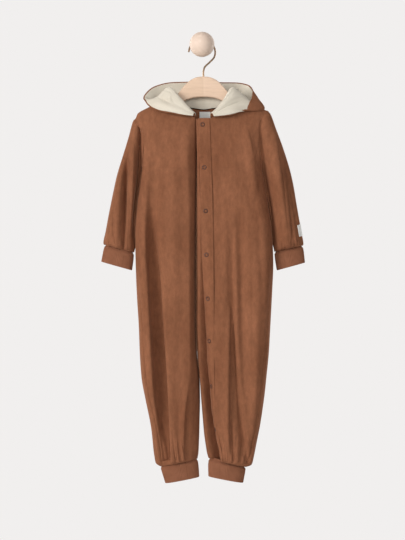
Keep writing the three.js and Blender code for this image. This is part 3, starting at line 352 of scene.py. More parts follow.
def armhole_edge(half, face, share):
    first, last = half["armhole"]["z"][0], half["armhole"]["z"][-1]
    z = mix(first, last, share)
    base = mix(SHOULDER_Y, UNDERARM["y"], share)
    y = mix(base, ARMHOLE_DEPTH[face], np.sin(QUARTER * np.sqrt(np.minimum(share, 1 - share) * 2)))
    return read(half["armhole"], "x", z), y, z


def columns_of(side, flat, inner):
    """The parts (0 side, 1 flat, 2 inner) and shares of a panel's columns."""
    counts = enumerate((side, flat, inner))
    pairs = [(part, i / count) for part, count in counts for i in range(part > 0, count + 1)]
    return tuple(np.array(values)[None, :] for values in zip(*pairs))


def section_point(half, face, part, share, z):
    """Horizontal sections of the front or back, without folds."""
    def get(name):
        return read(half["body"], name, z)

    way, is_front = half["way"], face == "front"
    side, turn, plane = get("side"), get("turn"), get(face)
    is_band = is_front and way > 0
    seam_y = mix(UNDERARM["y"], SIDE_SEAM["y"], ease((UNDERARM["z"] - z) / SIDE_SEAM["settle"]))
    if is_front:
        turn_in = 1.0
        inner = get("seam") if is_band else get("inseam")
        bend = inner + 1 if is_band else get("ridge")
    else:
        turn_in = read(CENTRE_BACK, "turn", z)
        inner = mix(read(CENTRE_BACK, "x", z), get("inseam"), ease((turn_in - 0.8) / 0.2))
        bend = inner + way * BACK_ROUND
    angle = mix(turn * QUARTER * (0.5 if is_front else -0.5), QUARTER, share)
    depth = np.where(angle < 0, get("back" if is_front else "front"), plane)
    side_x = side - way * SIDE_ROUND * (1 - np.cos(angle))
    side_y = mix(seam_y, depth, np.sin(np.abs(angle)))
    flat_x = mix(side - way * SIDE_ROUND, bend, share)
    flat_y = plane + FRONT_CROWN * np.sin(PI * share) * np.sign(plane - seam_y)
    round_in = share * QUARTER
    if is_band:
        inner_x, inner_y = mix(bend, inner, share), plane + 0 * share
    else:
        inner_x = mix(bend, inner, np.sin(round_in))
        inward = (1 - np.cos(round_in)) ** (FRONT_ROLL if is_front else 1)
        inner_y = mix(plane, mix(plane, get("fork"), turn_in), inward)
    x = np.where(part == 0, side_x, np.where(part == 1, flat_x, inner_x))
    y = np.where(part == 0, side_y, np.where(part == 1, flat_y, inner_y))
    return x, y


def slant(half, level):
    return half["hem"] * ease((SLANT_FROM - level) / (SLANT_FROM - GATHER["to"]))


def body_rows(half, face, part, share, uppers, levels):
    """A panel's points: upper rows by their share of the armhole height, then rows by level."""
    name = face + ("_right" if half["way"] < 0 else "_left")
    out_y = -1 if face == "front" else 1
    way = half["way"]
    s = uppers[:, None]
    ex, ey, ez = armhole_edge(half, face, s)
    level = mix(CHEST_TOP, UNDERARM["z"], s)
    x0, _ = section_point(half, face, part, share, np.full((1, 1), float(CHEST_TOP)))
    x1, y1 = section_point(half, face, part, share, level)
    side = read(half["body"], "side", level)
    even = mix(side, side - way * SIDE_ROUND, share)
    spaced = np.where(part == 0, mix(even, x1, s**4), x1)
    across = clamp01(1 - spaced / side)
    x = spaced + (ex - side) * clamp01(1 - across * 2)
    tip = half["armhole"]["x"][0]
    place = np.where(part == 0, tip - way * SIDE_ROUND * share, x0)
    top = half["top"][face]
    z = mix(ez, mix(read(top, "z", place), UNDERARM["z"], s), clamp01(across / ARMHOLE_BLEND))
    plane = read(half["body"], face, level)
    rise = np.sin(QUARTER * s**SHOULDER_ROUND)
    dip = (y1 - plane) * rise if face == "front" and way < 0 else 0
    open_y = mix(read(top, "y", place), plane, rise) + np.where(part == 2, dip, 0)
    roundness = np.where(part == 0, np.sin(QUARTER * share), 1.0)
    y = mix(ey, open_y, roundness) + out_y * fold_height(FOLDS[name], x, z) * roundness * rise
    upper = np.stack([x, y, z], -1)

    level = levels[:, None]
    x, y = section_point(half, face, part, share, level)
    z = level + slant(half, level) * (x - half["middle"])
    in_plane = np.where(part == 0, np.sin(QUARTER * share), np.where(part == 1, 1, clamp01(1.5 - 2 * share)))
    y = y + out_y * in_plane * fold_height(FOLDS[name], x, level + 0 * x)
    return np.concatenate([upper, np.stack([x, y, z], -1)])


def smooth_line(points, t):
    """A place on a centripetal Catmull-Rom line through points, t from 0 to 1."""
    last = len(points) - 1
    place = t * last
    i = min(int(place), last - 1)
    w = place - i
    p1, p2 = points[i], points[i + 1]
    p0 = points[i - 1] if i > 0 else 2 * points[0] - points[1]
    p3 = points[i + 2] if i + 2 <= last else 2 * points[-1] - points[-2]
    d0, d1, d2 = (max(math.sqrt(np.linalg.norm(b - a)), 1e-4) for a, b in ((p0, p1), (p1, p2), (p2, p3)))
    t1 = ((p1 - p0) / d0 - (p2 - p0) / (d0 + d1) + (p2 - p1) / d1) * d1
    t2 = ((p2 - p1) / d1 - (p3 - p1) / (d1 + d2) + (p3 - p2) / d2) * d1
    return p1 + t1 * w + (3 * (p2 - p1) - 2 * t1 - t2) * w**2 + (2 * (p1 - p2) + t1 + t2) * w**3


def normals_of(grid, way, wraps=False):
    """Directions square to a grid of points. way is 1 or -1, whichever faces out."""
    if wraps:
        across = np.roll(grid, -1, 1) - np.roll(grid, 1, 1)
    else:
        padded = np.concatenate([grid[:, :1], grid, grid[:, -1:]], 1)
        across = padded[:, 2:] - padded[:, :-2]
    padded = np.concatenate([grid[:1], grid, grid[-1:]])
    return way * unit(np.cross(across, padded[2:] - padded[:-2]))


def softened(grid, passes):
    """Evens out a grid's inner points between their neighbours."""
    for _ in range(passes):
        old = grid.copy()
        around = (old[:-2, 1:-1] + old[2:, 1:-1] + old[1:-1, :-2] + old[1:-1, 2:]) / 4
        grid[1:-1, 1:-1] += 0.5 * (around - old[1:-1, 1:-1])
    return grid


def evened(normals, passes, wraps=False):
    """Evens out directions, so that a thick wall doesn't pinch in a tight crease."""
    n = normals
    for _ in range(passes):
        if wraps:
            n = (np.roll(n, 1, 1) + 2 * n + np.roll(n, -1, 1)) / 4
        else:
            inner = (n[:, :-2] + 2 * n[:, 1:-1] + n[:, 2:]) / 4
            n = np.concatenate([n[:, :1], inner, n[:, -1:]], 1)
        inner = (n[:-2] + 2 * n[1:-1] + n[2:]) / 4
        n = unit(np.concatenate([n[:1], inner, n[-1:]]))
    return n


# Lines that round off an edge: how far in from it, and their share of the thickness
RIM_LINES = [(0.0, 0.42), (0.1, 0.66), (0.35, 0.87), (1.0, 1.0)]


def rimmed(packed, axis, first, last, size):
    """Adds the lines of a rounded edge to a grid of points, directions and thickness shares."""
    def line(edge, beside, at, factor):
        a, b = np.take(packed, [edge], axis), np.take(packed, [beside], axis)
        length = np.maximum(np.linalg.norm((b - a)[..., :3], axis=-1, keepdims=True), 1e-6)
        made = a + (b - a) * np.minimum(at * size / length, 0.8)
        made[..., 6] *= factor
        return made

    end = packed.shape[axis] - 1
    parts = [line(0, 1, *values) for values in RIM_LINES] if first else []
    parts.append(np.take(packed, range(int(first), end + 1 - int(last)), axis))
    if last:
        parts += [line(end, end - 1, *values) for values in reversed(RIM_LINES)]
    return np.concatenate(parts, axis)


def wall(grid, normals, thickness, wraps, rim):
    """A closed wall with rounded edges. rim says which of first row, last row, first column and
    last column are rounded. Returns points in mm and faces."""
    packed = np.concatenate([grid, normals, np.ones(grid.shape[:2] + (1,))], -1)
    packed = rimmed(packed, 0, *rim[:2], thickness / 2)
    if not wraps:
        packed = rimmed(packed, 1, *rim[2:], thickness / 2)
    centre, shift = packed[..., :3], unit(packed[..., 3:6]) * packed[..., 6:] * thickness / 2
    points = np.concatenate([(centre + shift).reshape(-1, 3), (centre - shift).reshape(-1, 3)])
    return points, wall_faces(*packed.shape[:2], wraps)


def quads(*corners):
    return np.stack(np.broadcast_arrays(*corners), -1).reshape(-1, 4)


def wall_faces(rows, columns, wraps):
    spans = columns if wraps else columns - 1
    r, c = np.meshgrid(np.arange(rows - 1), np.arange(spans), indexing="ij")

    def at(layer, row, column):
        return (layer * rows + row) * columns + column % columns

    faces = [
        quads(at(0, r, c), at(0, r, c + 1), at(0, r + 1, c + 1), at(0, r + 1, c)),
        quads(at(1, r, c), at(1, r + 1, c), at(1, r + 1, c + 1), at(1, r, c + 1)),
    ]
    r, c, end = r[:, 0], c[0], rows - 1
    faces += [
        quads(at(0, 0, c), at(1, 0, c), at(1, 0, c + 1), at(0, 0, c + 1)),
        quads(at(0, end, c), at(0, end, c + 1), at(1, end, c + 1), at(1, end, c)),
    ]
    if not wraps:
        faces += [
            quads(at(0, r, 0), at(0, r + 1, 0), at(1, r + 1, 0), at(1, r, 0)),
            quads(at(0, r, spans), at(1, r, spans), at(1, r + 1, spans), at(0, r + 1, spans)),
        ]
    return np.concatenate(faces)


def volume_of(points, faces):
    corners = points[faces]
    return sum(
        np.einsum("ij,ij->", corners[:, 0], np.cross(corners[:, k], corners[:, k + 1]))
        for k in range(1, faces.shape[1] - 1)
    )


def build(name, points, groups, slot):
    """A piece from points in mm and groups of triangles or quads, in place of the solid of its name."""
    if sum(volume_of(points, group) for group in groups) < 0:
        groups = [group[:, ::-1] for group in groups]
    mesh = bpy.data.meshes.new(name + "_mesh")
    mesh.from_pydata((points * MM).tolist(), [], [face for group in groups for face in group.tolist()])
    mesh.polygons.foreach_set("use_smooth", np.full(len(mesh.polygons), True))
    mesh.materials.append(MATERIALS[slot])
    mesh.update()
    piece = bpy.data.objects.new(name + "_made", mesh)
    bpy.context.collection.objects.link(piece)
    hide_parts(name)
    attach(piece, "root")
    return piece


def sharpened(piece, degrees):
    """Keeps edges sharper than an angle hard."""
    piece.data.set_sharp_from_angle(angle=math.radians(degrees))


# Materials
class Nodes:
    """A material's node tree with short ways to add nodes."""

    def __init__(self, name):
        self.material = bpy.data.materials.new(name)
        self.material.use_nodes = True
        self.tree = self.material.node_tree
        self.shader = self.tree.nodes["Principled BSDF"]
        self.place = self.tree.nodes.new("ShaderNodeTexCoord").outputs["Object"]

    def add(self, kind, settings=(), **inputs):
        node = self.tree.nodes.new(kind)
        for key, value in dict(settings).items():
            setattr(node, key, value)
        for key, value in inputs.items():
            self.put(node.inputs[key.replace("_", " ")], value)
        return node

    def put(self, socket, value):
        if isinstance(value, bpy.types.NodeSocket):
            self.tree.links.new(value, socket)
        else:
            socket.default_value = value

    def stretch(self, x, y, z):
        node = self.add("ShaderNodeMapping", Vector=self.place)
        node.inputs["Scale"].default_value = (x, y, z)
        return node.outputs["Vector"]

    def noise(self, scale, detail=2.0, roughness=0.5, vector=None):
        node = self.add(
            "ShaderNodeTexNoise", Vector=vector or self.place, Scale=scale, Detail=detail, Roughness=roughness
        )
        return node.outputs["Fac"]

    def ramp(self, fac, stops):
        """A colour ramp, whose colours may be single numbers for greys."""
        node = self.add("ShaderNodeValToRGB", Fac=fac)
        elements = node.color_ramp.elements
        while len(elements) < len(stops):
            elements.new(0.5)
        for element, (place, colour) in zip(elements, stops):
            colour = (colour,) * 3 if isinstance(colour, float) else colour
            element.position = place
            element.color = (*colour[:3], 1)
        return node.outputs["Color"]

    def math(self, operation, a, b=0.0, c=0.0):
        node = self.add("ShaderNodeMath", {"operation": operation})
        for socket, value in zip(node.inputs, (a, b, c)):
            self.put(socket, value)
        return node.outputs["Value"]

    def blend(self, mode, fac, a, b):
        node = self.add("ShaderNodeMix", {"data_type": "RGBA", "blend_type": mode})
        self.put(node.inputs["Factor"], fac)
        self.put(node.inputs[6], a)
        self.put(node.inputs[7], b)
        return node.outputs[2]

    def bump(self, height, strength, distance, normal=None):
        node = self.add("ShaderNodeBump", Height=height, Strength=strength, Distance=distance)
        if normal:
            self.put(node.inputs["Normal"], normal)
        return node.outputs["Normal"]

    def finish(self, colour, roughness, normal=None, **fixed):
        self.put(self.shader.inputs["Base Color"], colour)
        self.put(self.shader.inputs["Roughness"], roughness)
        if normal:
            self.put(self.shader.inputs["Normal"], normal)
        for key, value in fixed.items():
            self.shader.inputs[key.replace("_", " ")].default_value = value
        return self.material


def srgb(r, g, b):
    """A linear colour from a screen colour of 0 to 255."""
    def one(v):
        v /= 255
        return v / 12.92 if v <= 0.04045 else ((v + 0.055) / 1.055) ** 2.4
    return one(r), one(g), one(b), 1


def velour_material():
    n = Nodes("velour")
    cloud = n.noise(22, 3, 0.55, n.stretch(1, 1, 0.45))
    nap = n.noise(150, 3, 0.6, n.stretch(1, 1, 0.5))
    pile = n.noise(1400, 2, 0.6)
    base = n.ramp(cloud, [(0.3, srgb(120, 76, 53)), (0.5, srgb(127, 82, 58)), (0.72, srgb(135, 88, 63))])
    colour = n.blend("MULTIPLY", 1.0, base, n.ramp(nap, [(0.32, 0.9), (0.72, 1.15)]))
    colour = n.blend("MULTIPLY", 0.85, colour, n.ramp(pile, [(0.3, 0.8), (0.7, 1.14)]))
    normal = n.bump(pile, 0.35, 0.0004, n.bump(nap, 0.07, 0.001))
    return n.finish(
        colour, 0.95, normal, Sheen_Weight=0.5, Sheen_Roughness=0.25, Sheen_Tint=srgb(228, 172, 138),
        Specular_IOR_Level=0.1,
    )


def rib_material():
    n = Nodes("rib_knit")
    base = n.ramp(n.noise(60, 2), [(0.3, srgb(124, 80, 58)), (0.7, srgb(134, 88, 65))])
    loops = n.noise(900, 2, 0.6, n.stretch(1, 1, 2.2))
    colour = n.blend("MULTIPLY", 0.6, base, n.ramp(loops, [(0.3, 0.84), (0.7, 1.12)]))
    return n.finish(
        colour, 0.92, n.bump(loops, 0.3, 0.0003), Sheen_Weight=0.15, Sheen_Roughness=0.4,
        Sheen_Tint=srgb(220, 180, 155), Specular_IOR_Level=0.12,
    )


def jersey_material():
    n = Nodes("jersey")
    base = n.ramp(n.noise(30, 2), [(0.3, srgb(198, 189, 173)), (0.7, srgb(207, 199, 184))])
    rows = n.add(
        "ShaderNodeTexWave", {"bands_direction": "X"}, Vector=n.place, Scale=310.0, Distortion=2.0,
        Detail=2.0, Detail_Scale=3.0,
    ).outputs["Fac"]
    knit = n.math("ADD", n.math("MULTIPLY", rows, 0.5), n.noise(1400, 2, 0.6))
    shade = n.ramp(knit, [(0.35, (0.88, 0.88, 0.87)), (0.8, 1.05)])
    return n.finish(
        n.blend("MULTIPLY", 0.7, base, shade), 0.9, n.bump(knit, 0.3, 0.00035), Sheen_Weight=0.12,
        Sheen_Roughness=0.5, Specular_IOR_Level=0.2,
    )


def tape_material():
    n = Nodes("label_tape")
    across, down = (
        n.add("ShaderNodeTexWave", {"bands_direction": way}, Vector=n.place, Scale=scale, Distortion=0.4)
        for way, scale in (("X", 520.0), ("Z", 430.0))
    )
    weave = n.math("MULTIPLY", across.outputs["Fac"], down.outputs["Fac"])
    colour = n.ramp(weave, [(0.0, srgb(214, 212, 207)), (0.7, srgb(236, 235, 231))])
    return n.finish(colour, 0.62, n.bump(weave, 0.35, 0.0002), Specular_IOR_Level=0.35)


def wood_material(name, light, dark, rings=False, joint=None):
    n = Nodes(name)
    if rings:
        turned = n.add("ShaderNodeMapping", Vector=n.place)
        turned.inputs["Location"].default_value = (0.004, 0, -0.003)
        turned.inputs["Scale"].default_value = (1, 0.06, 1)
        grain = n.add(
            "ShaderNodeTexWave", {"wave_type": "RINGS", "rings_direction": "SPHERICAL"},
            Vector=turned.outputs["Vector"], Scale=72.0, Distortion=2.2, Detail=3.0, Detail_Scale=1.4,
        ).outputs["Fac"]
        flecks = n.noise(420, 3, 0.6)
    else:
        grain = n.noise(34, 5, 0.6, n.stretch(0.22, 1, 2.2))
        flecks = n.noise(260, 4, 0.65, n.stretch(0.12, 1, 1.6))
    base = n.ramp(grain, [(0.2, dark), (0.5, light), (0.8, dark if rings else light)])
    pores = n.ramp(flecks, [(0.3, (0.86, 0.84, 0.82)), (0.55, 1.02)])
    colour = n.blend("MULTIPLY", 0.6, base, pores)
    if joint is not None:
        across = n.add("ShaderNodeSeparateXYZ", Vector=n.place).outputs["X"]
        half = n.math("GREATER_THAN", across, joint * MM)
        colour = n.blend("MULTIPLY", 1.0, colour, n.ramp(half, [(0.2, (0.93, 0.92, 0.9)), (0.8, 1.0)]))
    return n.finish(colour, 0.62 if rings else 0.5, n.bump(flecks, 0.12, 0.0003), Specular_IOR_Level=0.4)


def metal_material(name, colour, roughness, metallic):
    n = Nodes(name)
    wear = n.noise(380, 3, 0.6)
    tone = n.ramp(wear, [(0.3, tuple(v * 0.82 for v in colour[:3])), (0.7, colour[:3])])
    rough = n.math("MULTIPLY_ADD", wear, 0.18, roughness - 0.09)
    return n.finish(tone, rough, n.bump(wear, 0.08, 0.0002), Metallic=metallic)


MATERIALS = {
    "velour": velour_material(),
    "rib_knit": rib_material(),
    "jersey": jersey_material(),
    "label_tape": tape_material(),
    "hanger_wood": wood_material("hanger_wood", srgb(216, 188, 164), srgb(207, 177, 151), joint=HANGER["x"]),
    "knob_wood": wood_material("knob_wood", srgb(232, 216, 203), srgb(210, 186, 168), rings=True),
    "hook_wire": metal_material("hook_wire", srgb(170, 141, 114), 0.42, 1.0),
    # Snap rings: their brown metal, made darker so it also stands in for painted shade round each ring
    "snap_metal": metal_material("snap_metal", srgb(92, 56, 40), 0.42, 0.3),
}


def cloth(name, grid, normals, thickness, slot="velour", wraps=False, rim=(True,) * 4):
    points, faces = wall(grid, normals, thickness, wraps, rim)
    return build(name, points, [faces], slot)


# Body panels
UPPER_STEPS = np.arange(len(UPPER))
UPPERS = np.interp(np.linspace(0, UPPER_STEPS[-1], 85), UPPER_STEPS, UPPER)
LEVELS = np.concatenate([np.linspace(-250, -760, 171), np.linspace(-762.5, -836, 36)])
ALL_ROWS = np.arange(len(UPPERS) + len(LEVELS))
ALL_LEVELS = np.concatenate([mix(CHEST_TOP, UNDERARM["z"], UPPERS), LEVELS])
IS_UPPER = ALL_ROWS < len(UPPERS)
UPPER_SHARE = UPPERS[np.minimum(ALL_ROWS, len(UPPERS) - 1)]
COLUMNS = {"front": columns_of(20, 46, 14), "back": columns_of(12, 30, 14)}
UNDERARM_ROW = len(UPPERS) - 1
CROTCH_ROW = len(UPPERS) + int(np.argmax(LEVELS < CROTCH_Z))
SLACK_SEED = {"front": 1.1, "back": 2.9}


def panel_height(name, half, face, x, z):
    """How far creases, gathers and the side line move a panel's points out."""
    part, share = COLUMNS[face]
    count = part.shape[1]
    low = clamp01((GATHER["from"] - z) / (GATHER["from"] - GATHER["to"]))
    turn = 2 * PI * GATHER["waves"] * np.arange(count)[None, :] / (count - 1)
    gathers = GATHER["out"] * np.sin(turn + half["phase"]) * ease(low * 1.4)
    gathers = gathers + GATHER["finer_out"] * np.sin(GATHER["finer_waves"] * turn + 2.1) * ease(low * 1.2)
    height = crease_height(CREASES[name], x, z) + slackness(x, z, half["way"] * SLACK_SEED[face]) + gathers
    if face == "back":
        return height
    from_seam = np.where(part == 0, share * QUARTER * SIDE_ROUND, np.inf)
    swell, middle, width = SIDE_LINE["swell"]
    line = swell * bell(from_seam, middle, width)
    line = line - SIDE_LINE["deep"] * bell(from_seam, SIDE_LINE["in"], SIDE_LINE["width"])
    return height + ease((SIDE_LINE["from"] - z) / SIDE_LINE["settle"]) * line


panels = {}
for half_name, half in HALVES.items():
    for face in ("front", "back"):
        name = f"{face}_{half_name}"
        way = half["way"] * (1 if face == "front" else -1)
        grid = body_rows(half, face, *COLUMNS[face], UPPERS, LEVELS)
        rows, columns = grid.shape[:2]
        hold = held(rows, 5, 4)[:, None] * held(columns, 3, 3)[None, :]
        height = hold * panel_height(name, half, face, grid[..., 0], grid[..., 2])
        grid = grid + normals_of(grid, way) * height[..., None]
        panels[name] = {"grid": grid, "normals": evened(normals_of(grid, way), 2), "half": half}


def share_directions(a, b):
    a[...] = b[...] = unit(a + b)


for half_name in HALVES:
    front, back = panels[f"front_{half_name}"]["normals"], panels[f"back_{half_name}"]["normals"]
    share_directions(front[UNDERARM_ROW:, 0], back[UNDERARM_ROW:, 0])
right_back, left_back = panels["back_right"]["normals"], panels["back_left"]["normals"]
share_directions(right_back[: CROTCH_ROW - 2, -1], left_back[: CROTCH_ROW - 2, -1])
share_directions(right_back[CROTCH_ROW:, -1], panels["front_right"]["normals"][CROTCH_ROW:, -1])
for name, panel in panels.items():
    on_shoulder = np.abs(panel["grid"][0, :, 0]) >= panel["half"]["neck_point"] - 2
    panel["normals"][0][on_shoulder] = (0, 0, 1)
    rim = (True, True, False, name != "front_left")
    panel["piece"] = cloth(name, panel["grid"], panel["normals"], VELOUR, rim=rim)
    sharpened(panel["piece"], SHARP["panel"])


# The snap band: the finished edge of the left front, over the band below it. Down the leg it
# turns in round the front fold, so that less of its width shows
def band_points(across):
    """Points of the band at shares across it, for the panel's rows."""
    half = HALVES["left"]
    seam = body_rows(half, "front", np.array([[2]]), np.array([[1.0]]), UPPERS, LEVELS)[:, 0]
    ripple = ease((EDGE_RIPPLE["from"] - ALL_LEVELS) / EDGE_RIPPLE["over"]) * (
        EDGE_RIPPLE["long"] * np.sin(ALL_LEVELS / EDGE_RIPPLE["long_wave"])
        + EDGE_RIPPLE["short"] * np.sin(ALL_LEVELS / EDGE_RIPPLE["short_wave"] + 1)
    )
    seen = seam[:, 0] - read(LEFT_BODY, "edge", ALL_LEVELS)
    tuck = PLACKET["turned"] * np.sqrt(np.maximum(PLACKET["width"] ** 2 - seen**2, 0))
    slope = np.where(IS_UPPER, PLACKET["rise"] * (1 - UPPER_SHARE), slant(half, ALL_LEVELS))
    a = across[None, :]
    away = 0.1 + (seen[:, None] + ripple[:, None] * a**3) * (1.5 * a - 0.5 * a * a)
    return np.stack([
        seam[:, :1] - away, seam[:, 1:2] + tuck[:, None] * a * a, seam[:, 2:3] - slope[:, None] * away,
    ], -1)


SNAP_LEVELS = [-161, -247, -335, -421, -508, -593, -682, -768]
STITCHES = {"rows": (2.6, 21.6), "deep": 0.35, "width": 0.9}
BAND_PAD = 0.35
SNAP_DIP = {"deep": 0.55, "spread": 60}
PULLS = {"out": 0.125, "wave": 7.3, "slant": 0.12, "slow_wave": 31}
band_across = np.linspace(0, 1, 19)
band = band_points(band_across)
band_normals = normals_of(band, 1)
across_mm = band_across * PLACKET["width"]
stitch = -STITCHES["deep"] * sum(bell(across_mm, row, STITCHES["width"]) for row in STITCHES["rows"])
pad = BAND_PAD * arch(band_across, 0.6)
from_middle = across_mm[None, :] - PLACKET["width"] / 2
snap_dips = -SNAP_DIP["deep"] * sum(
    np.exp(-((band[..., 2] - z) ** 2 + from_middle**2) / SNAP_DIP["spread"]) for z in SNAP_LEVELS
)
pulls = PULLS["out"] * np.sin(band[..., 2] / PULLS["wave"] + across_mm[None, :] * PULLS["slant"])
pulls = pulls * np.sin(band[..., 2] / PULLS["slow_wave"])
level_lift = mix(
    PLACKET["lift"], PLACKET["flush"], ease((PLACKET["flush_from"] - ALL_LEVELS) / PLACKET["flush_over"])
)
band_lift = level_lift[:, None] + stitch[None, :] + pad[None, :] + snap_dips + pulls
raised = band + band_normals * band_lift[..., None]
placket = cloth("front_placket", raised, band_normals, PLACKET["thickness"], rim=(True, True, False, True))


# The band below the snaps rises out of the centre fold, closes the inner leg further down and
# goes round the free edge of the band above to lie inside it
UNDERLAP = {"columns": 30, "sunk": 7, "deep": 5, "round": 0.9, "inside": 1.5}
UNDER_RIPPLE = {"out": 0.5, "most": 0.2, "wave": 23, "slow_wave": 61, "across": 5}


def under_points(count):
    above = band_points(np.array([1.0, 0.85, 0.6, 0.35]))
    facing = normals_of(band_points(np.linspace(0, 1, 21)), 1)[:, [20, 17, 12, 7]]
    kept = above - facing * PLACKET["clearance"]
    seam_y = band_points(np.array([0.0]))[:, 0, 1]
    inseam, ridge, fork = (read(LEFT_BODY, name, ALL_LEVELS) for name in ("inseam", "ridge", "fork"))
    rise = np.where(IS_UPPER, np.sin(QUARTER * np.sqrt(UPPER_SHARE)), 1)
    near_hem = ease((GATHER["from"] - ALL_LEVELS) / (GATHER["from"] - GATHER["to"]))
    turned = clamp01((above[:, 0, 1] - seam_y) / PLACKET["width"])
    top = seam_y + PLACKET["clearance"] + PLACKET["valley"] * rise * (1 - near_hem)
    top = top + UNDERLAP["sunk"] * turned
    bottom = np.maximum(top + UNDERLAP["deep"], mix(top, fork, rise))
    slope = np.where(IS_UPPER, 0, slant(HALVES["left"], ALL_LEVELS))
    past = above[:, 0] - kept[:, 0]
    behind = np.stack([-past[:, 1], past[:, 0], 0 * top], -1)
    round_edge = kept[:, 0] + behind * (-UNDERLAP["round"] * turned)[:, None]
    ridge = np.minimum(ridge, round_edge[:, 0] - UNDERLAP["inside"])
    lines = []
    for row in ALL_ROWS:
        x, _, z = above[row, 0]
        start = np.array([inseam[row], bottom[row], z])
        corner = np.array([mix(inseam[row], ridge[row], 0.25), mix(bottom[row], top[row], 0.72), z])
        crown = np.array([ridge[row], top[row], z])
        for point in (start, corner, crown):
            point[2] += slope[row] * (point[0] - x)
        anchors = [start, corner, crown, round_edge[row], *kept[row, 1:]]
        lines.append([smooth_line(anchors, t) for t in np.linspace(0, 1, count)])
    return np.array(lines)


under = under_points(UNDERLAP["columns"])
under_normals = normals_of(under, -1)
under_hold = clamp01(ALL_ROWS[::-1] / 3)[:, None] * clamp01(np.arange(UNDERLAP["columns"]) / 4)[None, :]
ripple = UNDER_RIPPLE["out"] * np.sin(under[..., 2] / UNDER_RIPPLE["wave"] + 0.4)
ripple = ripple * np.sin(under[..., 2] / UNDER_RIPPLE["slow_wave"] + under[..., 0] / UNDER_RIPPLE["across"])
under = under + under_normals * (under_hold * np.minimum(ripple, UNDER_RIPPLE["most"]))[..., None]
underlap = cloth("front_underlap", under, under_normals, VELOUR)

# Ring snaps down the middle of the band: radius and height of each point of the ring's profile
SNAP_PROFILE = [
    (2.25, 0), (4.3, 0), (4.6, 0.2), (4.62, 0.5), (4.45, 0.9), (4.05, 1.2), (3.6, 1.3), (3.15, 1.2),
    (2.85, 0.95), (2.65, 0.7), (2.35, 0.55), (2.2, 0.4), (2.2, 0.15),
]
SNAP_SIDES = 40
SNAP_SINK = 0.1


def turned_points(profile, sides):
    """Points of a profile of radius and height turned about the Y axis: profile points by sides."""
    profile, angles = np.array(profile, float), round_angles(sides)
    height = np.broadcast_to(profile[:, 1:], (len(profile), sides))
    return np.stack([profile[:, :1] * np.cos(angles), height, profile[:, :1] * np.sin(angles)], -1)


def ring_faces(count, sides):
    p, a = np.meshgrid(np.arange(count), np.arange(sides), indexing="ij")

    def at(i, j):
        return (i % count) * sides + j % sides

    return quads(at(p, a), at(p, a + 1), at(p + 1, a + 1), at(p + 1, a))


middle_column = len(band_across) // 2
for number, level in enumerate(SNAP_LEVELS, 1):
    row = int(np.argmin(np.abs(raised[:, middle_column, 2] - level)))
    normal = unit(band_normals[row, middle_column])
    across = unit(np.cross(normal, (0, 0, 1.0)))
    axes = np.array([across, normal, np.cross(across, normal)])
    ring = turned_points(SNAP_PROFILE, SNAP_SIDES).reshape(-1, 3) @ axes
    place = raised[row, middle_column] + normal * (PLACKET["thickness"] / 2 - SNAP_SINK)
    build(f"snap_{number}", ring + place, [ring_faces(len(SNAP_PROFILE), SNAP_SIDES)], "snap_metal")

# Sleeves: each ring runs from its outer point over the front to its inner point and back
RING = "outer_x outer_z inner_x inner_z front back"
SLEEVES = {
    "right": table(RING, [
        (-143.5, -177, -124, -256, -64, -31), (-152, -205, -126, -268, -65, -29),
        (-162, -237, -129, -287, -66, -28), (-171, -269, -132.2, -310, -66, -27),
        (-179, -305, -134.8, -336, -66, -26), (-186.5, -342, -136.4, -362, -66, -25),
        (-192.5, -374, -137, -388, -66, -25), (-195.6, -389, -137, -402, -65, -25),
        (-196, -397, -137, -412, -62, -27), (-194, -400, -136.5, -415.5, -55, -30),
    ]),
    "left": table(RING, [
        (146, -160, 124, -256, -64, -31), (154.5, -184, 126, -267, -65, -29),
        (163.5, -212, 130, -285, -66, -28), (173.5, -245, 135, -308, -66, -27),
        (182.5, -282, 139.5, -334, -66, -26), (188.8, -320, 143, -360, -66, -25),
        (194.6, -356, 145.4, -386, -66, -25), (199.4, -384, 146, -401, -65, -25),
        (201.4, -396, 146, -410, -62, -27), (201.4, -402, 145, -414, -55, -30),
    ]),
}
SLEEVE_FOLDS = {
    "right": [(0.75, 0.1, 0.5, 2, 0.2, 1), (2.7, -0.1, 0.45, -4, 0.05, 0.8), (4.4, 0.1, 0.6, -4, 0.15, 0.95)],
    "left": [(1.5, 0, 0.6, 3, 0.08, 1), (0.9, 0.2, 0.4, -2, 0.3, 1), (4.4, 0.1, 0.6, -4, 0.15, 0.95)],
}
SLEEVE_GATHER = {"waves": 9, "out": 1.2, "finer_waves": 23, "finer_out": 0.4, "rings": 3}
# How closely the first rings keep to the armhole's shape
SLEEVE_HOLDS = (0.55, 0.22, 0.06)
# How much closer to the body, and further back, each ring's inner side lies
SLEEVE_NEAR = {"x": (1.4, 2.8, 3.8, 4.2, 4.4, 4.6, 4.2, 3, 1, 0), "y": (3, 6, 8, 9, 9.5, 9.5, 8, 5, 2, 0)}
SLEEVE_HEAD = 1.0
SLEEVE_DEEPEST = -44
SIDES = 24


def ring_points(ring, sides):
    """Points round rings whose chord runs from an outer to an inner point; side 0 is the outer."""
    angle = 2 * PI * sides / SIDES

    def soft(value):
        return np.sign(value) * np.abs(value) ** 0.85

    share = (1 - soft(np.cos(angle))) / 2
    middle = (ring["front"] + ring["back"]) / 2
    depth = soft(np.sin(angle)) * (middle - ring["front"])
    x, z = (mix(ring[f"outer_{axis}"], ring[f"inner_{axis}"], share) for axis in "xz")
    return np.stack([x, middle - depth, z], -1)


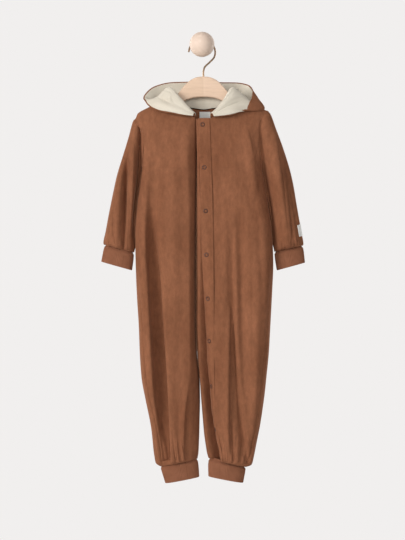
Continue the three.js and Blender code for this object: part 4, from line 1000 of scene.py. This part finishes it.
def spline_rows(rows, counts):
    """Rows between given rows on smooth curves, counts[i] of them from row i to the next."""
    rows = np.asarray(rows, float)
    padded = np.concatenate([[2 * rows[0] - rows[1]], rows, [2 * rows[-1] - rows[-2]]])
    result = []
    for i, count in enumerate(counts):
        p0, p1, p2, p3 = padded[i: i + 4]
        for k in range(count):
            t = k / count
            result.append(0.5 * (
                2 * p1 + (p2 - p0) * t + (2 * p0 - 5 * p1 + 4 * p2 - p3) * t * t
                + (3 * p1 - p0 - 3 * p2 + p3) * t**3
            ))
    result.append(rows[-1])
    return np.array(result)


AROUND = 168
SLEEVE_COUNTS = [6, 8, 9, 10, 11, 11, 10, 6, 5, 4]
LAST_RING = len(SLEEVE_COUNTS)
RING_NUMBERS = np.array([
    i + k / count for i, count in enumerate([*SLEEVE_COUNTS, 1]) for k in range(count)
])
SLEEVE_SIDES = SIDES * np.arange(AROUND) / AROUND
AT_FRONT = SLEEVE_SIDES <= SIDES / 2
HEAD_SHARE = np.interp(np.where(AT_FRONT, SLEEVE_SIDES, SIDES - SLEEVE_SIDES), UPPER_STEPS, UPPER)


def sleeve_rings(half_name, half):
    """A sleeve's points without folds, from the armhole to the cuff."""
    rings, way = SLEEVES[half_name], half["way"]
    front, back = (armhole_edge(half, face, HEAD_SHARE) for face in ("front", "back"))
    loop = np.stack([np.where(AT_FRONT, f, b) for f, b in zip(front, back)], -1)
    loop[:, 0] += way * (0.1 + VELOUR * ease((HEAD_SHARE - 0.35) / 0.5))
    plain_rings = [
        ring_points({key: values[r] for key, values in rings.items()}, SLEEVE_SIDES) for r in range(LAST_RING)
    ]
    inner = clamp01(-np.cos(round_angles(AROUND))) ** 3
    made = [loop]
    for r, ring in enumerate(plain_rings):
        hold = SLEEVE_HOLDS[r] if r < len(SLEEVE_HOLDS) else 0
        ring = mix(ring, loop - plain_rings[0] + ring, hold)
        ring[:, 0] -= way * SLEEVE_NEAR["x"][r] * inner
        ring[:, 1] += SLEEVE_NEAR["y"][r] * inner
        made.append(ring)
    return spline_rows(made, SLEEVE_COUNTS)


def sleeve_height(half_name, way, angle, down):
    """How far the rounder folds and the gathers at the cuff move a sleeve out."""
    height = 0
    for middle, drift, width, out, begin, finish in SLEEVE_FOLDS[half_name]:
        along = (down - begin) / (finish - begin)
        across = (angle - middle + way * drift * down) / width
        height = height + out * arch(along, 0.7) * hump(across)
    near = clamp01(1 - LAST_RING * (1 - down) / SLEEVE_GATHER["rings"])
    height = height + SLEEVE_GATHER["out"] * near * np.sin(SLEEVE_GATHER["waves"] * angle + 0.7)
    finer = SLEEVE_GATHER["finer_out"] * near**1.5
    height = height + finer * np.sin(SLEEVE_GATHER["finer_waves"] * angle + 1.1 + way)
    height = np.where(np.cos(angle) < -0.55, np.minimum(0, height), height)
    return height * clamp01(LAST_RING * down) * clamp01(LAST_RING * (1 - down) / 0.5)


def sleeve_creased(half_name, grid, angle, down):
    """Lays the creases on a sleeve's front and back, no deeper than its middle."""
    facing, ring = np.sin(angle), LAST_RING * down
    x, y, z = grid[..., 0], grid[..., 1], grid[..., 2]
    fade = clamp01(ring / 0.3) * clamp01((LAST_RING - ring) / 0.7)
    shown = np.where(np.cos(angle) > 0, clamp01(facing * 3 - 0.2), clamp01(facing * 4 + 0.3))
    forward = fade * shown * crease_height(CREASES[f"sleeve_{half_name}_front"], x, z)
    behind = fade * clamp01(-facing * 4) * crease_height(CREASES[f"sleeve_{half_name}_back"], x, z)
    return np.where(facing > 0, np.minimum(y - forward, np.maximum(y, SLEEVE_DEEPEST)), y + behind)


sleeve_parts = {}
for half_name, half in HALVES.items():
    way = half["way"]
    grid = sleeve_rings(half_name, half)
    down, angle = (RING_NUMBERS / LAST_RING)[:, None], round_angles(AROUND)[None, :]
    height = sleeve_height(half_name, way, angle, down)
    grid[..., 1] = sleeve_creased(half_name, grid, angle, down)
    height = height + SLEEVE_HEAD * arch(LAST_RING * down / 1.6) * clamp01(np.cos(angle) + 0.9)
    normals = normals_of(grid, way, True)
    grid = grid + normals * height[..., None]
    slack = 0.8 * slackness(grid[..., 0] * 1.4, grid[..., 2], 3.3 * way)
    grid = grid + normals * (slack * clamp01(down * 6) * clamp01((1 - down) * 8))[..., None]
    normals = evened(normals_of(grid, way, True), 2, True)
    row = np.round(np.interp(HEAD_SHARE, UPPERS, np.arange(len(UPPERS)))).astype(int)
    front, back = (panels[f"{face}_{half_name}"]["normals"][row, 0] for face in ("front", "back"))
    keep = (1 - ease((HEAD_SHARE - 0.45) / 0.3))[:, None]
    normals[0] = unit(mix(normals[0], np.where(AT_FRONT[:, None], front, back), keep))
    piece = cloth(f"sleeve_{half_name}", grid, normals, VELOUR, wraps=True)
    sleeve_parts[half_name] = {"grid": grid, "normals": normals, "piece": piece}

# Ribbed cuffs, each from inside the hem to its free end: first and last ring, tuck and number of ribs
CUFFS = {
    "wrist_right": (
        (-194, -400, -136.5, -415.5, -55, -30), (-201.4, -434.5, -142, -451.4, -54.5, -30.5), 3.4, 84,
    ),
    "wrist_left": ((201.4, -402, 145, -414, -55, -30), (205.8, -436.4, 151.8, -451.4, -54.5, -30.5), 3.6, 84),
    "ankle_right": ((-83.4, -843.4, -9.6, -828.6, -62, -30), (-72.6, -877.4, -7, -865, -61, -31), 3, 104),
    "ankle_left": ((88, -844.4, 13.6, -827, -62, -30), (81.6, -876.6, 14.4, -864, -61, -31), 5.4, 104),
}
RIB = {"points": 5, "out": 0.26, "seam_at": 1.9, "seam_deep": 0.6, "seam_width": 0.03}
CUFF_WAVE = 0.45
CUFF_BELLY = 0.7
CUFF_ALONGS = np.array([-0.06, 0, 0.02, 0.06, 0.11, 0.16, 0.22, 0.3, 0.4, 0.5, 0.6, 0.7, 0.8, 0.88, 0.94, 1])
for cuff, (start, end, tuck, ribs) in CUFFS.items():
    way = -1 if cuff.endswith("right") else 1
    angle = round_angles(ribs * RIB["points"])
    tucks = np.interp(CUFF_ALONGS, [-0.06, 0.02, 0.16, 0.4, 1], [1, 1, 0.15, 0, 0]) * tuck
    rows = []
    for along, inset in zip(CUFF_ALONGS, tucks):
        ring = {key: mix(a, b, along) for key, a, b in zip(RING.split(), start, end)}
        chord = np.sign(ring["inner_x"] - ring["outer_x"])
        belly = inset - CUFF_BELLY * arch(along)
        ring["outer_x"] += chord * inset
        ring["inner_x"] -= chord * inset
        ring["front"] += belly
        ring["back"] -= belly
        rows.append(ring_points(ring, SIDES * angle / (2 * PI)))
    grid = np.array(rows)
    normals = normals_of(grid, way, True)
    seam = RIB["seam_deep"] * bell((angle - RIB["seam_at"]) % (2 * PI), 0, RIB["seam_width"])
    ribbed = RIB["out"] * np.cos(ribs * angle) - seam
    fade = np.interp(CUFF_ALONGS, [0.0, 0.1, 0.93, 1.0], [0.2, 1, 1, 0.45])[:, None]
    down = CUFF_ALONGS[:, None]
    wave = CUFF_WAVE * np.sin(3 * angle[None, :] + 2 * down + ribs) * clamp01(down * 3)
    grid = grid + normals * (fade * ribbed[None, :] + wave)[..., None]
    cloth(f"cuff_{cuff}", grid, evened(normals, 1, True), RIBBING, "rib_knit", wraps=True)

# The hood, laid open round the hanger, with a row for each section from the right front round the
# back to the left front: where it starts on the neck, its roll, its rim, and how far the pouch between
# these falls, spreads sideways and stands out
HOOD_SECTIONS = [
    ("front", -13, (-15, -71, -141), (-18, -76, -146)),
    ("front", -24, (-25, -69, -130), (-35, -76, -144.4)),
    ("front", -38, (-38, -64, -114), (-61, -74, -140)),
    ("front", -52, (-52, -58.5, -98), (-88.6, -66, -134)),
    ("front", -60, (-61, -52, -86.5), (-107, -55, -123), 2),
    ("front", -63, (-64, -46.5, -84), (-114, -46, -113), 6),
    ("back", -60, (-64, -38, -88), (-118, -37, -104), 26),
    ("back", -52, (-60, -30, -92), (-103, -23, -84), 44, 0, 2),
    ("back", -34, (-40, -27, -96), (-72, -10, -71.5), 84, 3, 0),
    ("back", -14, (-17, -26, -98), (-36, -7, -69), 108, 3, 0),
    ("back", 3, (3, -26, -99), (3, -6.5, -68), 116),
    ("back", 20, (23, -26, -98), (42, -7, -70), 108, -3, 0),
    ("back", 40, (46, -27, -96), (74, -9, -71), 88, 2, 0),
    ("back", 56, (59, -29, -92), (95, -17, -77), 50, 16, 4),
    ("back", 64, (62, -37, -88), (101.5, -30, -88)),
    ("front", 68, (61, -43, -84.5), (101, -41, -98)),
    ("front", 66, (60, -47.5, -84.5), (99.5, -47, -106)),
    ("front", 64, (58, -51.5, -85), (95, -55.5, -115.5)),
    ("front", 57, (54, -57, -93), (89, -62, -127)),
    ("front", 44, (43, -64, -111), (62, -74, -143)),
    ("front", 30, (31, -69, -129), (37, -76.6, -146.4)),
    ("front", 17, (19, -71.5, -141), (24, -77, -147)),
]
# Points of the sections that lie on the left shoulder and chest, between the roll and the rim
HOOD_POUCHES = {
    14: [(78, -34, -104), (98, -29, -115.5), (118, -24, -122), (116, -28, -104)],
    15: [(80, -41, -102), (102, -37, -117.5), (128, -34, -130), (122, -41, -112)],
    16: [(80, -47, -101), (102, -44.5, -118), (133, -43, -136), (124, -50, -119)],
    17: [(74, -51, -99), (98, -51, -116.5), (129, -52, -138), (114, -60, -129)],
    18: [(66, -58, -104), (84, -59.5, -120), (100, -60.5, -136), (96, -67, -134)],
}
HOOD_STEPS = {"around": 44, "down": 11, "soften": 4, "finer_around": 5, "finer_down": 6}
ROLL_WIDTH = 7.2
NECK_GAP = 2


def hood_section(number, face, neck_x, roll, rim, pouch=0, spread=0, belly=0):
    """Points of one section from the neck over the roll to the rim."""
    top = HALVES["right" if neck_x < HANGER["x"] else "left"]["top"][face]
    neck = np.array([neck_x, read(top, "y", neck_x), read(top, "z", neck_x) + NECK_GAP])
    roll, rim = np.array(roll, float), np.array(rim, float)
    over = ROLL_WIDTH / 2 * unit((rim - neck) * (1, 1, 0))
    crest = roll + over

    def between(share, depth, fall):
        return mix(crest, rim, np.array([share, depth, share])) + np.array([spread, belly, -pouch]) * fall

    if number in HOOD_POUCHES:
        inner = [np.array(point, float) for point in HOOD_POUCHES[number]]
    else:
        shares = ((0.28, 0.28, 0.55), (0.42, 0.3, 0.96), (0.58, 0.84, 0.96), (0.72, 0.88, 0.55))
        inner = [between(*values) for values in shares]
    return [neck, roll - over, crest, *inner, rim]


def hood_points():
    """The hood's points: smooth lines round it through the sections, then finer ones between them."""
    around, down = HOOD_STEPS["around"], HOOD_STEPS["down"]
    curves = [hood_section(number, *row) for number, row in enumerate(HOOD_SECTIONS)]
    columns = []
    for d in range(down + 1):
        line = [smooth_line(curve, d / down) for curve in curves]
        columns.append([smooth_line(line, a / around) for a in range(around + 1)])
    coarse = softened(np.array(columns).transpose(1, 0, 2), HOOD_STEPS["soften"])
    fine = spline_rows(coarse, [HOOD_STEPS["finer_around"]] * around).transpose(1, 0, 2)
    return spline_rows(fine, [HOOD_STEPS["finer_down"]] * down).transpose(1, 0, 2)


hood = hood_points()
hood_normals = normals_of(hood, 1)

# Creases on the hood: the same as on the panels, and the depths between which each lies
HOOD_CREASES = [
    (-88, -106, -63, -118, (5, 3), -2.2, 0, -80, -45), (-63, -104, -60, -120, 2.6, 1.8, -2, -80, -45),
    (-98, -118, -50, -134, (7, 5), 1.2, 2, -80, -45), (-74, -92, -58, -100, (3, 4), -1.2, 1, -80, -45),
    (-66, -88, -112, -108, (9, 3), -3, 6, -44, -30), (-104, -94, -70, -84, 5, -1.8, 1, -36, -12),
    (-96, -88, -60, -80, 4, 1.5, 1, -36, -8), (-110, -104, -80, -98, 4, 1.3, 0, -44, -20),
    (27.6, -138.6, 90, -112, (5, 3), -2, 3, -80, -48), (50, -138.6, 86, -127, 4.5, 1.4, 2, -80, -48),
    (40, -124, 76, -104, (3, 5), 1.6, 2, -80, -48), (36, -118, 62, -94, (4, 3), -1.4, -2, -80, -48),
    (60, -88, 96, -112, (3, 9), -3, 0, -46, -30), (64, -84, 96, -92, 4, -1.8, 1, -40, -12),
    (58, -78, 92, -84, 4, 1.5, -1, -36, -8), (70, -92, 98, -100, 3.5, 1.2, 0, -46, -20),
    (106, -98, 122, -124, (3, 5), 1.4, 1, -56, -20),
    (-40, -120, -22, -150, 8, 1.6, 2, -30, 5), (12, -110, 30, -160, 9, 1.6, 2, -30, 5),
    (-70, -90, -30, -130, 9, -1.8, 3, -30, 5), (84, -92, 40, -140, 9, -1.8, -3, -30, 5),
    (-20, -140, 26, -168, 9, 1.5, 3, -30, 5), (0, -86, 6, -120, 9, 1.2, 1, -30, 5),
]
hood_height = 0.5 * slackness(hood[..., 0] * 1.5, hood[..., 2] * 2, 0.8)
for *row, low, high in HOOD_CREASES:
    within = ease((hood[..., 1] - low) / 6) * ease((high - hood[..., 1]) / 6)
    hood_height += within * crease(hood[..., 0], hood[..., 2], *row)
hood_hold = held(hood.shape[0], 8, 8)[:, None] * held(hood.shape[1], 8, 8)[None, :]
hood = hood - hood_normals * (hood_hold * hood_height)[..., None]
hood_normals = evened(normals_of(hood, 1), 3)
hood_shell = cloth("hood_shell", hood, hood_normals, VELOUR)

# The lining lies on the shell and stops short of its rim
LINING_LIFT = VELOUR / 2 + 0.35 + JERSEY / 2
RIM_BAND = 2.4
lining = hood - hood_normals * LINING_LIFT
lining[:, -1] += unit(lining[:, -2] - lining[:, -1]) * RIM_BAND
is_close = np.linalg.norm(hood[:, -2] - hood[:, -1], axis=-1) < RIM_BAND + 0.4
lining[is_close, -2] = (lining[is_close, -3] + lining[is_close, -1]) / 2
hood_lining = cloth("hood_lining", lining, hood_normals, JERSEY, "jersey")

# Bare woven labels
SLEEVE_LABEL = {"thickness": 0.8, "gap": 0.15, "rings": (7.1, 7.95, 12), "sides": (-0.9, 2.6, 22)}
NECK_LABEL = {
    "thickness": 0.35, "at": (6, -33.6, -133), "half_width": 11, "drop": 22, "apart": 0.45, "curl": 0.25,
}


def on_sleeve(values, ring, side):
    """A value of the left sleeve between its grid points."""
    row = float(np.interp(ring, RING_NUMBERS, np.arange(len(RING_NUMBERS))))
    column = side * AROUND / SIDES
    r, c = int(row), int(column)
    u, v = row - r, column - c
    return mix(mix(values[r, c], values[r, c + 1], v), mix(values[r + 1, c], values[r + 1, c + 1], v), u)


label_points, label_normals = (
    np.array([
        [on_sleeve(sleeve_parts["left"][kind], ring, side) for side in np.linspace(*SLEEVE_LABEL["sides"])]
        for ring in np.linspace(*SLEEVE_LABEL["rings"])
    ])
    for kind in ("grid", "normals")
)
label_normals = evened(unit(label_normals), 3)
label_lift = (VELOUR + SLEEVE_LABEL["thickness"]) / 2 + SLEEVE_LABEL["gap"]
label_points = softened(label_points + label_normals * label_lift, 3)
label_sleeve = cloth("label_sleeve", label_points, label_normals, SLEEVE_LABEL["thickness"], "label_tape")

# The neck label hangs down behind and comes up again in front
u, v = np.meshgrid(np.linspace(-1, 1, 22), np.linspace(0, 1, 40), indexing="xy")
label_x, label_y, label_z = NECK_LABEL["at"]
neck_label = np.stack([
    label_x + NECK_LABEL["half_width"] * u,
    label_y - NECK_LABEL["apart"] * np.tanh((v - 0.5) * 30) - NECK_LABEL["curl"] * u * u,
    label_z - NECK_LABEL["drop"] * np.minimum(v * 2, 2 - v * 2),
], -1)
label_neck = cloth("label_neck", neck_label, normals_of(neck_label, 1), NECK_LABEL["thickness"], "label_tape")

# Hanger: an arched board, thinner to its ends, with a joint at its middle
BAR_TOP = [
    (0, -63), (14, -64.5), (28, -71.5), (40, -83), (50, -96), (60, -109.2), (88, -121.2), (110, -131.2),
    (120, -138.2),
]
BAR_BOTTOM = [
    (0, -104.6), (8, -104.6), (22, -106.5), (38, -112.5), (56, -124), (80, -138.5), (104, -149), (116, -150),
    (121, -145),
]
BAR_POINTS = 60
GROOVE = {"deep": 0.3, "width": 0.35}


def even_line(points, count):
    """Points evenly spaced along a smooth line."""
    points = [np.array(p, float) for p in points]
    fine = np.array([smooth_line(points, t) for t in np.linspace(0, 1, 241)])
    run = np.concatenate([[0], np.cumsum(np.linalg.norm(np.diff(fine, axis=0), axis=1))])
    at = np.linspace(0, run[-1], count)
    return np.stack([np.interp(at, run, values) for values in fine.T], -1)


def bar_section(top, bottom):
    """A section of the bar between its top and bottom edges, with rounded corners."""
    middle, across = (top + bottom) / 2, (top - bottom) / 2
    reach = np.linalg.norm(across)
    up = across / reach if reach > 1e-6 else np.array([0, 1.0])
    thick = HANGER["thickness"] / 2 * (1 - HANGER["taper"] * abs(middle[0]))
    groove = GROOVE["deep"] * bell(middle[0], 0, GROOVE["width"])
    radius = min(HANGER["round"], max(reach - 0.05, 0.05), thick * 0.8)
    turns = QUARTER * np.arange(7) / 6
    section = []
    for number, (sign_up, sign_out) in enumerate(((1, 1), (-1, 1), (-1, -1), (1, -1))):
        for turn in turns if number % 2 == 0 else QUARTER - turns:
            p = sign_up * (reach - radius + radius * math.cos(turn))
            q = sign_out * (thick - radius + radius * math.sin(turn))
            p -= np.sign(p) * groove
            section.append((middle[0] + up[0] * p, q - np.sign(q) * groove, middle[1] + up[1] * p))
    return section


half_top, half_bottom = (even_line(edge, BAR_POINTS) for edge in (BAR_TOP, BAR_BOTTOM))
half_top[-1] = half_bottom[-1] = (half_top[-1] + half_bottom[-1]) / 2 + (0.4, 0)
tops, bottoms = (np.concatenate([edge[:0:-1] * (-1, 1), edge]) for edge in (half_top, half_bottom))
bar = np.array([bar_section(*edges) for edges in zip(tops, bottoms)]) + (HANGER["x"], HANGER["y"], 0)


def closed_tube(points):
    """A tube from rows of points, closed by a middle point at each end."""
    rows, around = points.shape[:2]
    flat = np.concatenate([points.reshape(-1, 3), [points[0].mean(0)], [points[-1].mean(0)]])
    r, c = np.arange(rows - 1)[:, None] * around, np.arange(around)
    nxt = (c + 1) % around
    first = np.stack([np.full(around, rows * around), nxt, c], -1)
    base = (rows - 1) * around
    last = np.stack([np.full(around, rows * around + 1), base + c, base + nxt], -1)
    return flat, [quads(r + c, r + nxt, r + around + nxt, r + around + c), first, last]


build("hanger_bar", *closed_tube(bar), "hanger_wood")

# Hook: bent wire that hangs on the knob's stem behind the ball and leans forward to the bar
HOOK = {
    "arc": range(176, -25, -20), "neck": [(15, -34), (6, -43), (HANGER["x"], -52), (HANGER["x"], -66)],
    "gap": 0.3, "y": -25, "lean_from": 20, "lean_over": 85, "points": 130, "sides": 20, "tip": 4,
}


def hook_points():
    """Rows of points round the wire, with a rounded tip at its free end."""
    radius, bend = WIRE["radius"], WIRE["bend"]
    middle_z = KNOB["stem"] + HOOK["gap"] + radius - bend
    turns = np.radians(HOOK["arc"])
    places = [(bend * math.cos(turn), middle_z + bend * math.sin(turn)) for turn in turns] + HOOK["neck"]
    lean = [float(ease((HOOK["lean_from"] - z) / HOOK["lean_over"])) for _, z in places]
    route = [(x, mix(HOOK["y"], HANGER["y"], share), z) for (x, z), share in zip(places, lean)]
    line = even_line(route, HOOK["points"])
    tangents = unit(np.gradient(line, axis=0))
    side_way = unit(np.cross(tangents, (0, 1.0, 0)))
    up_way = np.cross(side_way, tangents)
    angles = round_angles(HOOK["sides"])[:, None]
    rings = side_way[:, None] * np.cos(angles) + up_way[:, None] * np.sin(angles)
    cap = (np.arange(HOOK["tip"]) / HOOK["tip"])[:, None]
    cap_radius = radius * np.sqrt(np.clip(1 - (1 - cap) ** 2, 0.02, 1))
    tip_line = line[0] - tangents[0] * radius * (1 - cap)
    tip = tip_line[:, None] + cap_radius[..., None] * rings[0]
    return np.concatenate([tip, line[:, None] + radius * rings])


build("hanger_hook", *closed_tube(hook_points()), "hook_wire")


# Knob: a ball on a stem whose back face lies on the wall
def knob_profile():
    """Radius and height along the knob, with a small bevel at its back face."""
    stem, ball = KNOB["stem"], KNOB["ball"]
    joint = math.asin(stem / ball)
    profile = [(stem - 0.6, 0), (stem - 0.2, -0.3), (stem, -0.8), (stem, -12), (stem, -KNOB["stem_length"])]
    for angle in np.linspace(PI - joint, 0.02, 41):
        profile.append((ball * math.sin(angle), KNOB["y"] - ball * math.cos(angle)))
    return profile


wall_knob = build("wall_knob", *closed_tube(turned_points(knob_profile(), KNOB["facets"])), "knob_wood")
sharpened(wall_knob, SHARP["knob"])

# Floor, light and camera
bpy.ops.mesh.primitive_plane_add(size=4, location=(0, -1.3, -1.35))
floor = bpy.context.object
floor.name = "floor"
paint = Nodes("floor_paint")
tone = paint.ramp(paint.noise(8, 2), [(0.3, srgb(232, 231, 229)), (0.7, srgb(236, 235, 233))])
floor.data.materials.append(paint.finish(tone, 0.9))

world = bpy.data.worlds.new("studio")
bpy.context.scene.world = world
world.use_nodes = True
tree = world.node_tree
seen = tree.nodes["Background"]
seen.inputs["Color"].default_value = srgb(241, 239, 238)
soft = tree.nodes.new("ShaderNodeBackground")
soft.inputs["Color"].default_value = srgb(244, 241, 240)
soft.inputs["Strength"].default_value = 0.13
path = tree.nodes.new("ShaderNodeLightPath")
either = tree.nodes.new("ShaderNodeMixShader")
tree.links.new(path.outputs["Is Camera Ray"], either.inputs["Fac"])
tree.links.new(soft.outputs["Background"], either.inputs[1])
tree.links.new(seen.outputs["Background"], either.inputs[2])
tree.links.new(either.outputs["Shader"], tree.nodes["World Output"].inputs["Surface"])


def placed(name, data, place):
    item = bpy.data.objects.new(name, data)
    bpy.context.collection.objects.link(item)
    item.location = place
    return item


def area_light(name, place, size, power, colour=(1, 1, 1), target=(0, 0, -0.42)):
    data = bpy.data.lights.new(name, "AREA")
    data.shape = "RECTANGLE"
    data.size, data.size_y = size
    data.energy = power
    data.color = colour
    way = Vector(target) - Vector(place)
    placed(name, data, place).rotation_euler = way.to_track_quat("-Z", "Y").to_euler()


area_light("key", (-2.4, -1.9, 0.3), (1.1, 1.6), 80, (1, 0.99, 0.98))
area_light("front", (-0.3, -3.1, 0.3), (1.4, 1.4), 28)
area_light("fill", (2.0, -2.1, 0.2), (0.8, 1.4), 10)
area_light("top", (0.1, -0.9, 1.5), (1.2, 0.8), 8, target=(0, 0, -0.3))
area_light("back", (0.2, 1.6, 0.8), (1.8, 1.2), 18, target=(0, 0, -0.4))
area_light("left_rim", (-1.6, 1.3, 0), (0.5, 1.6), 22)
area_light("right_rim", (1.6, 1.3, 0), (0.5, 1.6), 22)

camera_data = bpy.data.cameras.new("camera")
camera_data.lens = 100.6
camera_data.sensor_width = 36
camera = placed("camera", camera_data, (0.001, -3.07, -0.451))
camera.rotation_euler = (QUARTER, 0, 0)
bpy.context.scene.camera = camera
bpy.context.scene.view_settings.view_transform = "Standard"
